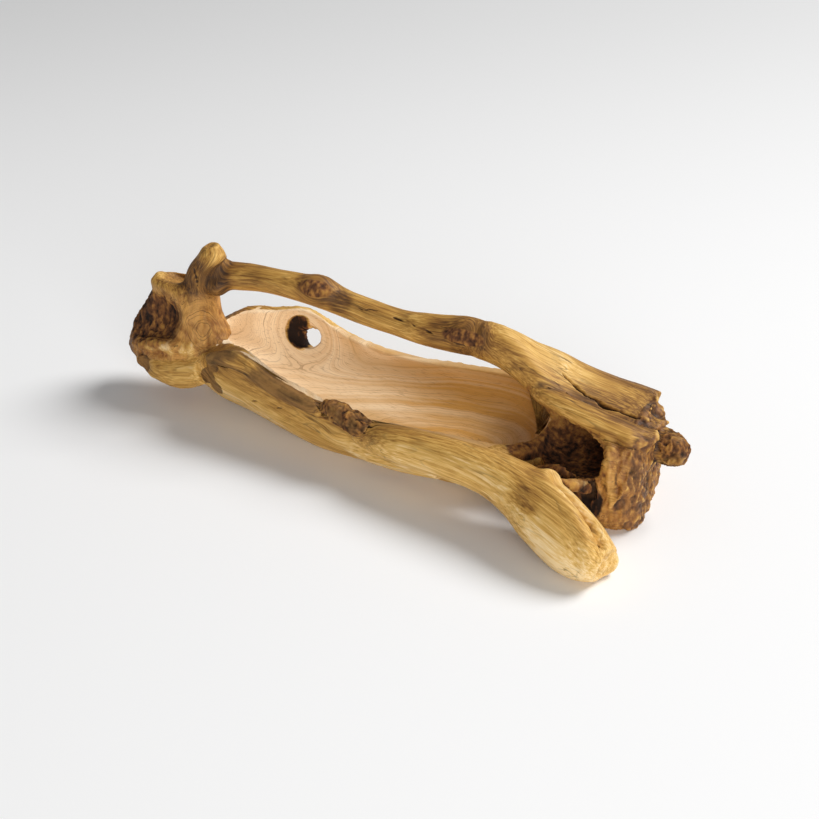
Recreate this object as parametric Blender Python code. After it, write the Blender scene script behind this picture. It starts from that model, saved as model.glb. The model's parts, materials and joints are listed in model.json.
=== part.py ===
"""Long bowl carved from one hollow root, with a limb of the root left over it as a carrying handle.

The wood grew in limbs that run into each other. Each limb, slab and shell is its own closed solid here, and
a limb that runs into a neighbour is scribed to it, so the two seat on each other along their meeting line.
Lengths are in millimetres and become metres as each mesh is made. +X runs along the bowl from the burl end to
the log end, +Y away from the front root, and +Z up. The origin is the middle of the flat the belly rests on.
"""

import math

import bmesh
import bpy
from mathutils import Vector

MM = 0.001

# Driving sizes, in millimetres
BOWL_LENGTH = 386.0  # carved hollow, from the burl to the lip at the log
BOWL_LEFT = -235.0  # where the carved hollow starts, measured from the belly flat
BOWL_WIDTH = 163.0  # over both rims at the middle
RIM_HEIGHT = 66.0  # mean height of the rims over the ground
WALL = 11.0  # thickness of the carved walls
FLOOR = 19.0  # thickness of the carved floor over the belly flat
BELLY_TRIM = 5.0  # how much of the round belly is dressed off to make its flat
HANDLE_HEIGHT = 146.0  # mean height of the handle's middle line
HANDLE_RADIUS = 14.5  # half the handle's thickness at the grip
LOG_LENGTH = 118.0  # from the lip of the bowl to the broken end
LOG_RADIUS = 68.0  # half the width of the hollow log
LOG_ASIDE = 15.0  # how far the log's middle lies behind the bowl's
LOG_HEIGHT = 98.0  # from the ground to the top of the log's shell, under its roof
LOG_TRIM = 20.0  # how much of the round log is dressed off to make its flat
ROOF_HALF_WIDTH = 49.0
ROOF_HALF_HEIGHT = 24.0
BURL_LENGTH = 127.0  # the block at the handle's other end
BURL_HALF_WIDTH = 38.0
BURL_DROP = 8.0  # how far the burl's shoulder stays under the handle's middle line
FOOT_RADIUS = 34.0  # the front root where it stands on the ground
FOOT_LENGTH = 148.0  # from the lip of the bowl to the tip of the foot
FOOT_REACH = 40.0  # how far the foot stands out past the bowl's side
KNOT_HOLE_RADIUS = 18.0  # the knot that fell out of the back wall, at its mouth in the hollow
GROWTH_GAP = 0.3  # clearance between two limbs that seat on each other

BOWL_RIGHT = BOWL_LEFT + BOWL_LENGTH
NEAR_SIDE = -BOWL_WIDTH / 2
FAR_SIDE = BOWL_WIDTH / 2
LOG_NEAR = LOG_ASIDE - LOG_RADIUS
ROOF_ASIDE = LOG_ASIDE + 17.0  # the roof leans back over the log
ROOF_NEAR = ROOF_ASIDE - ROOF_HALF_WIDTH
BURL_HEIGHT = HANDLE_HEIGHT - BURL_DROP
BURL_ASIDE = -27.0  # how far the burl's middle lies in front of the bowl's
BURL_NEAR = BURL_ASIDE - BURL_HALF_WIDTH
BURL_LAP = 25.0  # how far the burl stands over the end of the bowl
HOLLOW_HEADROOM = 26.0  # how far the carving tool's sweep stands over the rims
POCKET_LENGTH = 64.0  # the rotten hollow in the burl's face
POCKET_DEPTH = 56.0
POCKET_HEIGHT = 58.0
END_ROT = 44.0  # across the second, lower hollow in the burl's broken end
GROUND_DEPTH = 60.0  # depth of the block that dresses the flats to the ground
GROUND_REACH = 900.0

# Which way the sections of a form face, where they don't turn with its line
UPRIGHT = Vector((0, 0, 1))
LOG_RUN = Vector((1, 0, 0))
ROOF_RUN = Vector((0.94, 0.14, -0.30)).normalized()

# How finely a form is drawn
RINGS_PER_SPAN = 3
LIMB_SIDES = 14
SHELL_SIDES = 22


def along(share):
    """A place along the carved hollow, from 0 at the burl to 1 at the lip."""
    return BOWL_LEFT + share * BOWL_LENGTH


def past_lip(share):
    """A place along the log, from 0 at the lip to 1 at the broken end."""
    return BOWL_RIGHT + share * LOG_LENGTH


def to_foot(share):
    """A place along the foot, from 0 at the lip to 1 at its tip."""
    return BOWL_RIGHT + share * FOOT_LENGTH


def along_burl(share):
    """A place along the burl, from 0 at its broken end to 1 over the bowl."""
    return BOWL_LEFT + BURL_LAP - (1 - share) * BURL_LENGTH


def between(a, b, c, d, t):
    """The value a share t of the way from b to c on the smooth curve through a, b, c and d."""
    steady = 2 * b
    slope = (c - a) * t
    bend = (2 * a - 5 * b + 4 * c - d) * t**2
    turn = (3 * b - a - 3 * c + d) * t**3
    return (steady + slope + bend + turn) / 2


def smooth_stations(stations, per_span=RINGS_PER_SPAN):
    """Stations read from the smooth curve through the given ones."""
    made = []
    last = len(stations) - 1
    for i in range(last):
        four = [stations[min(max(i + k, 0), last)] for k in (-1, 0, 1, 2)]
        for step in range(per_span):
            made.append(tuple(between(*values, step / per_span) for values in zip(*four)))
    return made + [tuple(stations[-1])]


def loft(name, rings, collection):
    """A closed skin over rings that all have the same number of points, with a flat face at each end."""
    shape = bmesh.new()
    rows = [[shape.verts.new(Vector(point) * MM) for point in ring] for ring in rings]
    sides = len(rows[0])
    for row, following in zip(rows, rows[1:]):
        for i in range(sides):
            j = (i + 1) % sides
            shape.faces.new((row[i], row[j], following[j], following[i]))
    shape.faces.new(rows[0][::-1])
    shape.faces.new(rows[-1])
    bmesh.ops.recalc_face_normals(shape, faces=shape.faces)
    bmesh.ops.triangulate(shape, faces=shape.faces)
    mesh = bpy.data.meshes.new(name)
    shape.to_mesh(mesh)
    shape.free()
    mesh.shade_smooth()
    mesh.set_sharp_from_angle(angle=math.radians(50))
    piece = bpy.data.objects.new(name, mesh)
    collection.objects.link(piece)
    return piece


def limb_rings(stations, sides=LIMB_SIDES, squareness=2.0, facing=None):
    """Oval rings square to a line. A station is x, y, z, half the width and half the depth there.

    The width is level and the depth is square to it. On an upright line the width runs along X. Rings that
    are given a facing all keep it.
    """
    line = smooth_stations(stations)
    rings = []
    for i, (x, y, z, half_width, half_height) in enumerate(line):
        ahead = Vector(line[min(i + 1, len(line) - 1)][:3])
        behind = Vector(line[max(i - 1, 0)][:3])
        run = facing or (ahead - behind).normalized()
        upright = Vector((0, 0, 1)) if abs(run.z) < 0.8 else Vector((0, 1, 0))
        across = run.cross(upright).normalized()
        rise = across.cross(run)
        ring = []
        for k in range(sides):
            angle = 2 * math.pi * k / sides
            aside = half_width * power(math.cos(angle), 2 / squareness)
            above = half_height * power(math.sin(angle), 2 / squareness)
            offset = across * aside + rise * above
            ring.append(Vector((x, y, z)) + offset)
        rings.append(ring)
    return rings


def power(value, exponent):
    """The value's size raised to a power, with its sign kept."""
    return math.copysign(abs(value) ** exponent, value)


def trough_rings(stations, squareness, sides=SHELL_SIDES):
    """Upright sections across the bowl, rounded below and level from rim to rim.

    A station is x, then y and z of the near rim, y and z of the far rim, and z of the bottom.
    """
    rings = []
    for x, near_y, near_z, far_y, far_z, bottom in smooth_stations(stations):
        middle, half = (near_y + far_y) / 2, (far_y - near_y) / 2
        ring = []
        for k in range(sides + 1):
            angle = math.pi * k / sides
            across = -power(math.cos(angle), 2 / squareness)
            rim = near_z + (far_z - near_z) * (across + 1) / 2
            depth = power(math.sin(angle), 2 / squareness)
            ring.append((x, middle + half * across, rim - (rim - bottom) * depth))
        rings.append(ring)
    return rings


def rim_line():
    """The bowl's outside: x, near rim, far rim and bottom, from the burl to the log."""
    low = -BELLY_TRIM
    return [
        (along(-0.07), NEAR_SIDE + 44, RIM_HEIGHT - 4, FAR_SIDE - 52, RIM_HEIGHT, 32.0),
        (along(0.0), NEAR_SIDE + 30, RIM_HEIGHT + 4, FAR_SIDE - 38, RIM_HEIGHT + 18, 17.0),
        (along(0.075), NEAR_SIDE + 20, RIM_HEIGHT + 10, FAR_SIDE - 20, RIM_HEIGHT + 17, 7.0),
        (along(0.175), NEAR_SIDE + 13, RIM_HEIGHT + 28, FAR_SIDE - 10, RIM_HEIGHT + 20, 1.0),
        (along(0.30), NEAR_SIDE + 7, RIM_HEIGHT + 14, FAR_SIDE - 6, RIM_HEIGHT, low),
        (along(0.415), NEAR_SIDE + 2, RIM_HEIGHT + 8, FAR_SIDE - 2, RIM_HEIGHT - 9, low * 2),
        (along(0.54), NEAR_SIDE, RIM_HEIGHT - 4, FAR_SIDE, RIM_HEIGHT - 9, low * 1.5),
        (along(0.69), NEAR_SIDE + 3, RIM_HEIGHT - 1, FAR_SIDE, RIM_HEIGHT - 2, low),
        (along(0.83), NEAR_SIDE + 6, RIM_HEIGHT + 2, FAR_SIDE - 2, RIM_HEIGHT + 5, low),
        (along(0.94), NEAR_SIDE + 14, RIM_HEIGHT - 2, FAR_SIDE - 13, RIM_HEIGHT + 6, 5.0),
        (along(1.0), NEAR_SIDE + 30, RIM_HEIGHT - 6, FAR_SIDE - 32, RIM_HEIGHT, 18.0),
        (along(1.025), NEAR_SIDE + 48, RIM_HEIGHT - 9, FAR_SIDE - 52, RIM_HEIGHT - 6, 33.0),
    ]


def hollow_line():
    """The carved hollow: the bowl's outside taken in by the wall and the floor, and drawn in at both ends."""
    narrowing = {0: 0.30, 1: 0.45, 2: 0.75, 9: 0.94, 10: 0.80, 11: 0.46}
    rise = {0: 42.0, 1: 30.0, 2: 17.0, 3: 7.0, 9: 11.0, 10: 26.0, 11: 42.0}
    aside = {0: 16.0, 1: 15.0, 2: 10.0, 3: 2.0}
    inset = {0: 18.0, 10: -3.0, 11: -6.0}
    line = []
    for i, (x, near_y, near_z, far_y, far_z, _) in enumerate(rim_line()):
        middle = (near_y + far_y) / 2 + aside.get(i, 0.0)
        half = ((far_y - near_y) / 2 - WALL) * narrowing.get(i, 1.0)
        bottom = FLOOR + rise.get(i, 0.0)
        line.append((x + inset.get(i, 0.0), middle - half, near_z, middle + half, far_z, bottom))
    return line


def hollow_rings():
    """Sections of the carved hollow, carried straight up past the rims."""
    rings = []
    for ring in trough_rings(hollow_line(), squareness=2.15):
        near, far = ring[0], ring[-1]
        top = max(near[2], far[2]) + HOLLOW_HEADROOM
        rings.append(ring + [(far[0], far[1], top), (near[0], near[1], top)])
    return rings


def new_collection(name, parent):
    made = bpy.data.collections.new(name)
    parent.children.link(made)
    return made


def helper(piece):
    """Marks a piece as a cutter, which is no part of the object."""
    piece.hide_render = True
    piece.display_type = "WIRE"
    return piece


def grown(piece, by, collection):
    """A cutter with the piece's own form, larger by a clearance all round."""
    cutter = bpy.data.objects.new(f"cut_{piece.name}", piece.data)
    collection.objects.link(cutter)
    swell = cutter.modifiers.new("clearance", "DISPLACE")
    swell.mid_level = 0.0
    swell.strength = by * MM
    return helper(cutter)


def cut(piece, cutter, label):
    trim = piece.modifiers.new(label, "BOOLEAN")
    trim.operation = "DIFFERENCE"
    trim.object = cutter
    trim.solver = "EXACT"


def reach(piece):
    """The corners of a piece's own form."""
    points = [vertex.co for vertex in piece.data.vertices]
    low = Vector(min(p[k] for p in points) for k in range(3))
    high = Vector(max(p[k] for p in points) for k in range(3))
    return low, high


def meets(one, other):
    """Whether the boxes of two forms touch."""
    low_a, high_a = reach(one)
    low_b, high_b = reach(other)
    room = GROWTH_GAP * MM
    return all(low_a[k] - room < high_b[k] and low_b[k] - room < high_a[k] for k in range(3))


def ellipsoid(name, centre, radii, collection):
    """A round cutter."""
    shape = bmesh.new()
    bmesh.ops.create_uvsphere(shape, u_segments=16, v_segments=10, radius=1.0)
    mesh = bpy.data.meshes.new(name)
    for vertex in shape.verts:
        vertex.co = Vector(c + r * v for c, r, v in zip(centre, radii, vertex.co)) * MM
    shape.to_mesh(mesh)
    shape.free()
    piece = bpy.data.objects.new(name, mesh)
    collection.objects.link(piece)
    return helper(piece)


def block(name, low, high, collection):
    """A square cutter."""
    shape = bmesh.new()
    bmesh.ops.create_cube(shape, size=1.0)
    mesh = bpy.data.meshes.new(name)
    for vertex in shape.verts:
        vertex.co = Vector(a + (b - a) * (v + 0.5) for a, b, v in zip(low, high, vertex.co)) * MM
    shape.to_mesh(mesh)
    shape.free()
    piece = bpy.data.objects.new(name, mesh)
    collection.objects.link(piece)
    return helper(piece)


def finish_of(name, colour, roughness):
    """A wood finish with its colour and roughness."""
    material = bpy.data.materials.new(name)
    material.use_nodes = True
    shader = material.node_tree.nodes["Principled BSDF"]
    shader.inputs["Base Color"].default_value = (*colour, 1.0)
    shader.inputs["Roughness"].default_value = roughness
    shader.inputs["Metallic"].default_value = 0.0
    return material


def log_line():
    """The hollow log: x, y, z, half width and half depth. Its underside is dressed to the ground."""
    half_height = (LOG_HEIGHT + LOG_TRIM) / 2
    middle = LOG_HEIGHT - half_height
    return [
        (past_lip(-0.38), LOG_ASIDE + 33, middle, LOG_RADIUS * 0.44, half_height * 0.78),
        (past_lip(0.03), LOG_ASIDE + 21, middle, LOG_RADIUS * 0.70, half_height * 0.92),
        (past_lip(0.34), LOG_ASIDE + 2, middle, LOG_RADIUS * 0.98, half_height),
        (past_lip(0.72), LOG_ASIDE - 1, middle, LOG_RADIUS, half_height),
        (past_lip(0.93), LOG_ASIDE + 1, middle + 1, LOG_RADIUS * 0.95, half_height * 0.97),
        (past_lip(1.04), LOG_ASIDE + 3, middle + 2, LOG_RADIUS * 0.84, half_height * 0.90),
        (past_lip(1.08), LOG_ASIDE + 4, middle + 3, LOG_RADIUS * 0.66, half_height * 0.78),
    ]


def roof_line():
    """The broad limb over the log, which the handle runs out of."""
    wide, high = ROOF_HALF_WIDTH, ROOF_HALF_HEIGHT
    return [
        (past_lip(-0.60), 4.0, HANDLE_HEIGHT - 3, wide * 0.40, high * 0.80),
        (past_lip(-0.38), 8.0, HANDLE_HEIGHT - 9, wide * 0.46, high * 0.79),
        (past_lip(-0.18), 14.0, HANDLE_HEIGHT - 21, wide * 0.60, high * 0.76),
        (past_lip(0.0), LOG_ASIDE + 5, HANDLE_HEIGHT - 33, wide * 0.76, high * 0.84),
        (past_lip(0.20), ROOF_ASIDE - 5, LOG_HEIGHT - 2, wide * 0.95, high),
        (past_lip(0.50), ROOF_ASIDE, LOG_HEIGHT - 11, wide, high),
        (past_lip(0.85), ROOF_ASIDE + 2, LOG_HEIGHT - 15, wide * 0.98, high * 0.94),
    ]


def handle_line():
    """The limb that is left over the hollow as a handle."""
    r = HANDLE_RADIUS
    return [
        (along_burl(0.77), -15.0, HANDLE_HEIGHT - 4, r * 1.2, r * 1.25),
        (along(0.05), -12.0, HANDLE_HEIGHT + 3, r * 1.05, r * 1.07),
        (along(0.15), -10.0, HANDLE_HEIGHT + 8, r * 0.97, r * 0.97),
        (along(0.285), -10.0, HANDLE_HEIGHT + 10, r, r * 0.97),
        (along(0.355), -8.0, HANDLE_HEIGHT + 9, r * 1.1, r * 1.1),
        (along(0.43), -4.0, HANDLE_HEIGHT + 1, r * 0.97, r * 0.97),
        (along(0.58), 0.0, HANDLE_HEIGHT - 7, r, r * 0.98),
        (along(0.67), 0.0, HANDLE_HEIGHT - 6, r * 1.15, r * 1.15),
        (along(0.765), 2.0, HANDLE_HEIGHT - 3, r * 1.3, r * 1.3),
        (past_lip(-0.50), 5.0, HANDLE_HEIGHT - 5, r * 1.2, r * 1.2),
    ]


def burl_line():
    """The upright block that carries the handle's other end, from its foot to its shoulder."""
    wide = BURL_HALF_WIDTH
    half = BURL_LENGTH / 2
    return [
        (along_burl(0.52), BURL_ASIDE - 7, BURL_HEIGHT * 0.14, half * 0.42, wide * 0.48),
        (along_burl(0.46), BURL_ASIDE - 4, BURL_HEIGHT * 0.30, half * 0.86, wide * 0.78),
        (along_burl(0.50), BURL_ASIDE, BURL_HEIGHT * 0.51, half, wide),
        (along_burl(0.50), BURL_ASIDE + 5, BURL_HEIGHT * 0.72, half * 0.72, wide * 0.90),
        (along_burl(0.53), BURL_ASIDE + 9, BURL_HEIGHT * 0.89, half * 0.60, wide * 0.72),
        (along_burl(0.55), BURL_ASIDE + 10, BURL_HEIGHT * 0.98, half * 0.54, wide * 0.58),
    ]


def stub_line():
    """The cut stub of a side branch that stands up where the handle leaves the burl."""
    return [
        (along_burl(0.62), -16.0, HANDLE_HEIGHT - 30, 19.0, 19.0),
        (along_burl(0.70), -16.0, HANDLE_HEIGHT - 2, 20.0, 19.0),
        (along_burl(0.79), -17.0, HANDLE_HEIGHT + 22, 13.0, 13.0),
        (along_burl(0.83), -18.0, HANDLE_HEIGHT + 38, 7.5, 7.5),
    ]


def flake_line():
    """The split slab under the burl."""
    return [
        (along_burl(0.22), BURL_NEAR + 11, BURL_HEIGHT * 0.33, 8.0, 9.0),
        (along_burl(0.40), BURL_NEAR + 7, BURL_HEIGHT * 0.30, 12.0, 14.0),
        (along_burl(0.66), BURL_NEAR + 6, BURL_HEIGHT * 0.31, 14.0, 18.0),
        (along_burl(0.90), BURL_NEAR + 5, BURL_HEIGHT * 0.39, 11.0, 14.0),
    ]


def front_root_line():
    """The root along the front rim, which turns out and down to stand on the ground as a foot."""
    r = FOOT_RADIUS
    out = NEAR_SIDE - FOOT_REACH
    return [
        (along(0.57), NEAR_SIDE + 4, RIM_HEIGHT - 18, 10.0, 11.0),
        (along(0.69), NEAR_SIDE - 4, RIM_HEIGHT - 13, 17.0, 18.0),
        (along(0.83), NEAR_SIDE - 8, RIM_HEIGHT - 9, 20.0, 20.0),
        (along(0.98), NEAR_SIDE - 12, RIM_HEIGHT - 8, 22.0, 23.0),
        (to_foot(0.22), out + 22, r * 1.48, r * 0.80, r * 0.85),
        (to_foot(0.42), out + 12, r * 1.20, r * 0.92, r * 0.96),
        (to_foot(0.63), out, r * 0.88, r * 0.90, r * 0.96),
        (to_foot(0.78), out - 5, r * 0.70, r * 0.80, r * 0.80),
        (to_foot(0.89), out - 7, r * 0.60, r * 0.60, r * 0.54),
    ]


def belly_root_line():
    """The lower strand of the front root, under the bowl's side."""
    return [
        (along(0.48), NEAR_SIDE + 16, 28.0, 9.0, 8.0),
        (along(0.57), NEAR_SIDE + 13, 24.0, 12.0, 12.0),
        (along(0.69), NEAR_SIDE + 12, 26.0, 14.0, 13.0),
        (along(0.81), NEAR_SIDE + 8, 34.0, 13.0, 13.0),
    ]


def rim_bark_line():
    """The strip of old bark left along the front rim."""
    return [
        (along(0.075), NEAR_SIDE + 14, RIM_HEIGHT + 10, 6.0, 7.0),
        (along(0.175), NEAR_SIDE + 8, RIM_HEIGHT + 23, 7.0, 9.0),
        (along(0.30), NEAR_SIDE + 2, RIM_HEIGHT + 9, 7.0, 9.0),
        (along(0.40), NEAR_SIDE - 2, RIM_HEIGHT + 3, 7.0, 8.0),
        (along(0.47), NEAR_SIDE - 3, RIM_HEIGHT - 2, 6.0, 7.0),
    ]


def rim_gnarl_line():
    """The curled knot of grain at the middle of the front rim."""
    return [
        (along(0.47), NEAR_SIDE + 1, RIM_HEIGHT + 2, 8.0, 8.0),
        (along(0.52), NEAR_SIDE, RIM_HEIGHT + 1, 11.0, 10.0),
        (along(0.58), NEAR_SIDE - 1, RIM_HEIGHT - 7, 12.0, 9.0),
        (along(0.63), NEAR_SIDE - 1, RIM_HEIGHT - 10, 8.0, 6.0),
    ]


def strand_line():
    """The strand of wood split from the roof by the long drying crack."""
    return [
        (past_lip(-0.02), ROOF_NEAR + 10, LOG_HEIGHT + 11, 8.0, 9.0),
        (past_lip(0.20), ROOF_NEAR + 2, LOG_HEIGHT + 9, 11.0, 10.0),
        (past_lip(0.53), ROOF_NEAR - 3, LOG_HEIGHT + 3, 13.0, 10.5),
        (past_lip(0.88), ROOF_NEAR - 1, LOG_HEIGHT - 5, 14.0, 11.5),
        (past_lip(1.06), ROOF_NEAR + 7, LOG_HEIGHT - 10, 12.0, 11.0),
    ]


def ledge_line():
    """The thin wall of rotten heartwood that stands along the mouth of the log."""
    return [
        (past_lip(0.17), LOG_NEAR + 2, LOG_HEIGHT * 0.41, 6.0, 12.0),
        (past_lip(0.40), LOG_NEAR + 3, LOG_HEIGHT * 0.46, 7.0, 15.0),
        (past_lip(0.62), LOG_NEAR + 7, LOG_HEIGHT * 0.52, 7.0, 16.0),
        (past_lip(0.80), LOG_NEAR + 13, LOG_HEIGHT * 0.56, 6.0, 13.0),
    ]


def splinter_line():
    """The torn splinter between the foot and the log."""
    start, end = NEAR_SIDE - 2, LOG_NEAR + 12
    return [
        (past_lip(0.52), start, LOG_HEIGHT * 0.60, 7.0, 7.0),
        (past_lip(0.60), start + (end - start) * 0.36, LOG_HEIGHT * 0.55, 5.0, 7.0),
        (past_lip(0.68), start + (end - start) * 0.70, LOG_HEIGHT * 0.47, 5.0, 8.0),
        (past_lip(0.74), end, LOG_HEIGHT * 0.35, 6.0, 9.0),
    ]


def nodule_line():
    """The nodule of crust on the broken end of the log."""
    return [
        (past_lip(1.0), LOG_ASIDE + 1, LOG_HEIGHT - 24, 15.0, 15.0),
        (past_lip(1.19), LOG_ASIDE - 6, LOG_HEIGHT - 24, 15.0, 15.0),
        (past_lip(1.28), LOG_ASIDE - 8, LOG_HEIGHT - 25, 8.0, 8.0),
    ]


def knot_hole_line():
    """The slanting hole that a lost knot left in the back wall, from the hollow to the outside."""
    r = KNOT_HOLE_RADIUS
    return [
        (along(0.145), FAR_SIDE - 50, RIM_HEIGHT + 9, r * 1.2, r * 1.15),
        (along(0.175), FAR_SIDE - 27, RIM_HEIGHT - 4, r * 1.05, r),
        (along(0.20), FAR_SIDE - 8, RIM_HEIGHT - 17, r * 0.65, r * 0.58),
        (along(0.225), FAR_SIDE + 12, RIM_HEIGHT - 29, r * 0.55, r * 0.5),
    ]


def main():
    for leftover in list(bpy.data.objects):
        bpy.data.objects.remove(leftover)
    scene_root = bpy.context.scene.collection
    parts = new_collection("carved_root_bowl", scene_root)
    cutters = new_collection("cutters", scene_root)

    carved = ((0.55, 0.36, 0.18), 0.5)
    weathered = ((0.42, 0.28, 0.10), 0.6)
    rotten = ((0.10, 0.05, 0.02), 0.85)
    crust = ((0.16, 0.10, 0.05), 0.9)

    # Seated first to last: each piece is scribed to those before it.
    forms = [
        ("carved_bowl", trough_rings(rim_line(), squareness=3.0), carved),
        ("log_shell", limb_rings(log_line(), sides=20, squareness=2.9, facing=LOG_RUN), rotten),
        ("log_roof", limb_rings(roof_line(), sides=18, facing=ROOF_RUN), weathered),
        ("log_strand", limb_rings(strand_line()), weathered),
        ("left_burl", limb_rings(burl_line(), sides=18, facing=UPRIGHT), weathered),
        ("branch_stub", limb_rings(stub_line(), facing=UPRIGHT), weathered),
        ("handle_limb", limb_rings(handle_line()), weathered),
        ("burl_flake", limb_rings(flake_line(), sides=12), weathered),
        ("front_root", limb_rings(front_root_line(), sides=16), weathered),
        ("belly_root", limb_rings(belly_root_line(), sides=12), weathered),
        ("rim_gnarl", limb_rings(rim_gnarl_line(), sides=12), crust),
        ("rim_bark", limb_rings(rim_bark_line(), sides=10), crust),
        ("end_nodule", limb_rings(nodule_line(), sides=12), crust),
        ("heartwood_ledge", limb_rings(ledge_line(), sides=12), rotten),
        ("torn_splinter", limb_rings(splinter_line(), sides=10), weathered),
    ]
    pieces = {}
    for name, rings, finish in forms:
        piece = loft(name, rings, parts)
        colour, roughness = finish
        piece.data.materials.append(finish_of(f"{name}_wood", colour, roughness))
        pieces[name] = piece

    swollen = {name: grown(piece, GROWTH_GAP, cutters) for name, piece in pieces.items()}
    hollow = helper(loft("cut_hollow", hollow_rings(), cutters))
    knot_hole = helper(loft("cut_knot_hole", limb_rings(knot_hole_line(), sides=12), cutters))
    cavity = ellipsoid(
        "cut_cavity",
        (past_lip(0.36), LOG_NEAR + 33, LOG_HEIGHT * 0.70),
        (LOG_LENGTH * 0.54, LOG_RADIUS * 0.80, LOG_HEIGHT * 0.26),
        cutters,
    )
    pocket = ellipsoid(
        "cut_pocket",
        (along_burl(0.42), BURL_NEAR + 2, BURL_HEIGHT * 0.77),
        (POCKET_LENGTH / 2, POCKET_DEPTH / 2, POCKET_HEIGHT / 2),
        cutters,
    )
    end_rot = ellipsoid(
        "cut_end_rot",
        (along_burl(0.18), BURL_NEAR + 6, BURL_HEIGHT * 0.64),
        (END_ROT * 0.7, END_ROT / 2, END_ROT / 2),
        cutters,
    )
    ground = block(
        "cut_ground",
        (-GROUND_REACH, -GROUND_REACH, -GROUND_DEPTH),
        (GROUND_REACH, GROUND_REACH, 0.0),
        cutters,
    )

    hollows = {
        "carved_bowl": [hollow, knot_hole],
        "log_shell": [hollow, cavity],
        "log_strand": [cavity],
        "left_burl": [pocket, end_rot],
        "front_root": [hollow],
        "rim_gnarl": [hollow],
        "rim_bark": [hollow],
    }
    order = list(pieces)
    for i, name in enumerate(order):
        piece = pieces[name]
        for cutter in hollows.get(name, []):
            cut(piece, cutter, cutter.name)
        for earlier in order[:i]:
            if meets(piece, pieces[earlier]):
                cut(piece, swollen[earlier], f"seat_on_{earlier}")
        if reach(piece)[0].z < 0:
            cut(piece, ground, "dress_flat")


main()
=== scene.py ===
"""Looks of a long bowl carved from one root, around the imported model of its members.

The root's members are fused into one skin, as they grew, and the skin is shaped: limbs run into each other,
long flutes follow the grain, rot eats the hollows, ends are broken ragged and drying cracks open. The skin is
then parted along the members' own seams, so that each member is a closed piece that stands where its solid
stands. Lengths are in metres, and the places and reaches in the tables below are in millimetres.
"""

import json
import math

import bmesh
import bpy
import numpy as np
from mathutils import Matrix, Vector
from mathutils.kdtree import KDTree


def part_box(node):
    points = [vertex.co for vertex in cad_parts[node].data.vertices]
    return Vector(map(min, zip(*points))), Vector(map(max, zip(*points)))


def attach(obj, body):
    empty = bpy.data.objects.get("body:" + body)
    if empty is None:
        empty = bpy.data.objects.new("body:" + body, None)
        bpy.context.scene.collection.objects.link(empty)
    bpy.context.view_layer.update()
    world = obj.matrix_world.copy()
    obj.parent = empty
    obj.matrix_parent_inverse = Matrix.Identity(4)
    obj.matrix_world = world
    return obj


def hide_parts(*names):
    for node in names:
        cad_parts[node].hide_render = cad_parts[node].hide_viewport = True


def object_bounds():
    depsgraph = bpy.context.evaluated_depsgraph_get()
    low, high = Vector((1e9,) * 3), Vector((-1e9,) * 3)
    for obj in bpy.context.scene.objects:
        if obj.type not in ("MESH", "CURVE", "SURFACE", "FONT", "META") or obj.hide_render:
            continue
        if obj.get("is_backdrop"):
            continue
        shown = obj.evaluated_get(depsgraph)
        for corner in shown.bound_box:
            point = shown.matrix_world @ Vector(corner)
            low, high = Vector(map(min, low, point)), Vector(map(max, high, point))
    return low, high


bl_info = {
    "name": "Carved root bowl",
    "version": (1, 0, 0),
    "blender": (4, 5, 0),
    "location": "3D View > Sidebar > Root bowl",
    "description": "Shapes and finishes the members of a bowl carved from one root",
    "category": "Object",
}

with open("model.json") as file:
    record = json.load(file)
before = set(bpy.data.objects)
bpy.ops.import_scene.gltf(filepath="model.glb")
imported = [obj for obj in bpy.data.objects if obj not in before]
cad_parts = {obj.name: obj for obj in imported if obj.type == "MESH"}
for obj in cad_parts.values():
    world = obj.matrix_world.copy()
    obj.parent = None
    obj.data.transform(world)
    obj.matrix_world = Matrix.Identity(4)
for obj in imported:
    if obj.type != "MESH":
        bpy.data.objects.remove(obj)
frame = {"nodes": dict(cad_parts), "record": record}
CAD_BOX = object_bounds()
SLOTS = {part["node"]: part["material_slot"] for part in frame["record"]["subparts"]}
MEMBERS = list(SLOTS)
MM = 0.001

# Members whose grain stands upright, and members without a hard edge of their own
UPRIGHT = ("left_burl", "branch_stub")
ROUND = ("handle_limb", "branch_stub", "front_root", "belly_root", "rim_gnarl", "rim_bark")

# Members that grew into each other, so that the wood is filled out between them
GROWN = [
    ("handle_limb", "branch_stub"),
    ("handle_limb", "left_burl"),
    ("handle_limb", "log_roof"),
    ("branch_stub", "left_burl"),
    ("left_burl", "carved_bowl"),
    ("front_root", "carved_bowl"),
    ("front_root", "belly_root"),
    ("front_root", "rim_gnarl"),
    ("belly_root", "carved_bowl"),
    ("rim_gnarl", "carved_bowl"),
    ("rim_bark", "carved_bowl"),
    ("rim_bark", "rim_gnarl"),
    ("carved_bowl", "log_shell"),
]

# Members that have split apart, with a dark gap between them
SPLITS = [
    ("left_burl", "burl_flake"),
    ("log_shell", "heartwood_ledge"),
    ("log_shell", "torn_splinter"),
    ("front_root", "torn_splinter"),
]

# Hollows in the wood: centre and half sizes, in millimetres
LOG_CAVITY = ((194, -20, 68), (64, 55, 26))
BURL_POCKET = ((-286, -63, 102), (38, 30, 32))
BURL_END_ROT = ((-314, -59, 88), (34, 26, 28))
# A painted shadow: the dark slot between the foot and the log's wall, eaten in by rot and painted black
PAINTED_SHADOW_SLOT = ((230, -60, 30), (20, 12, 26))
KNOT_HOLE = [(-179, 31, 75), (-167, 54, 62), (-158, 73, 49), (-148, 93, 37)]
KNOT_HOLE_REACH = (17, 23)

# The middle of the burl's largest curl, and the spacing of the lines round it, in metres
BURL_EYE = (-0.228, -0.046, 0.094)
EYE_SPACING = 3.0 * MM

# The log's thin edge behind the lip of the bowl, which has rotted down
THIN_EDGE = [(128, 52, 66), (144, 38, 64), (156, 18, 62), (162, -6, 58)]

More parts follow.
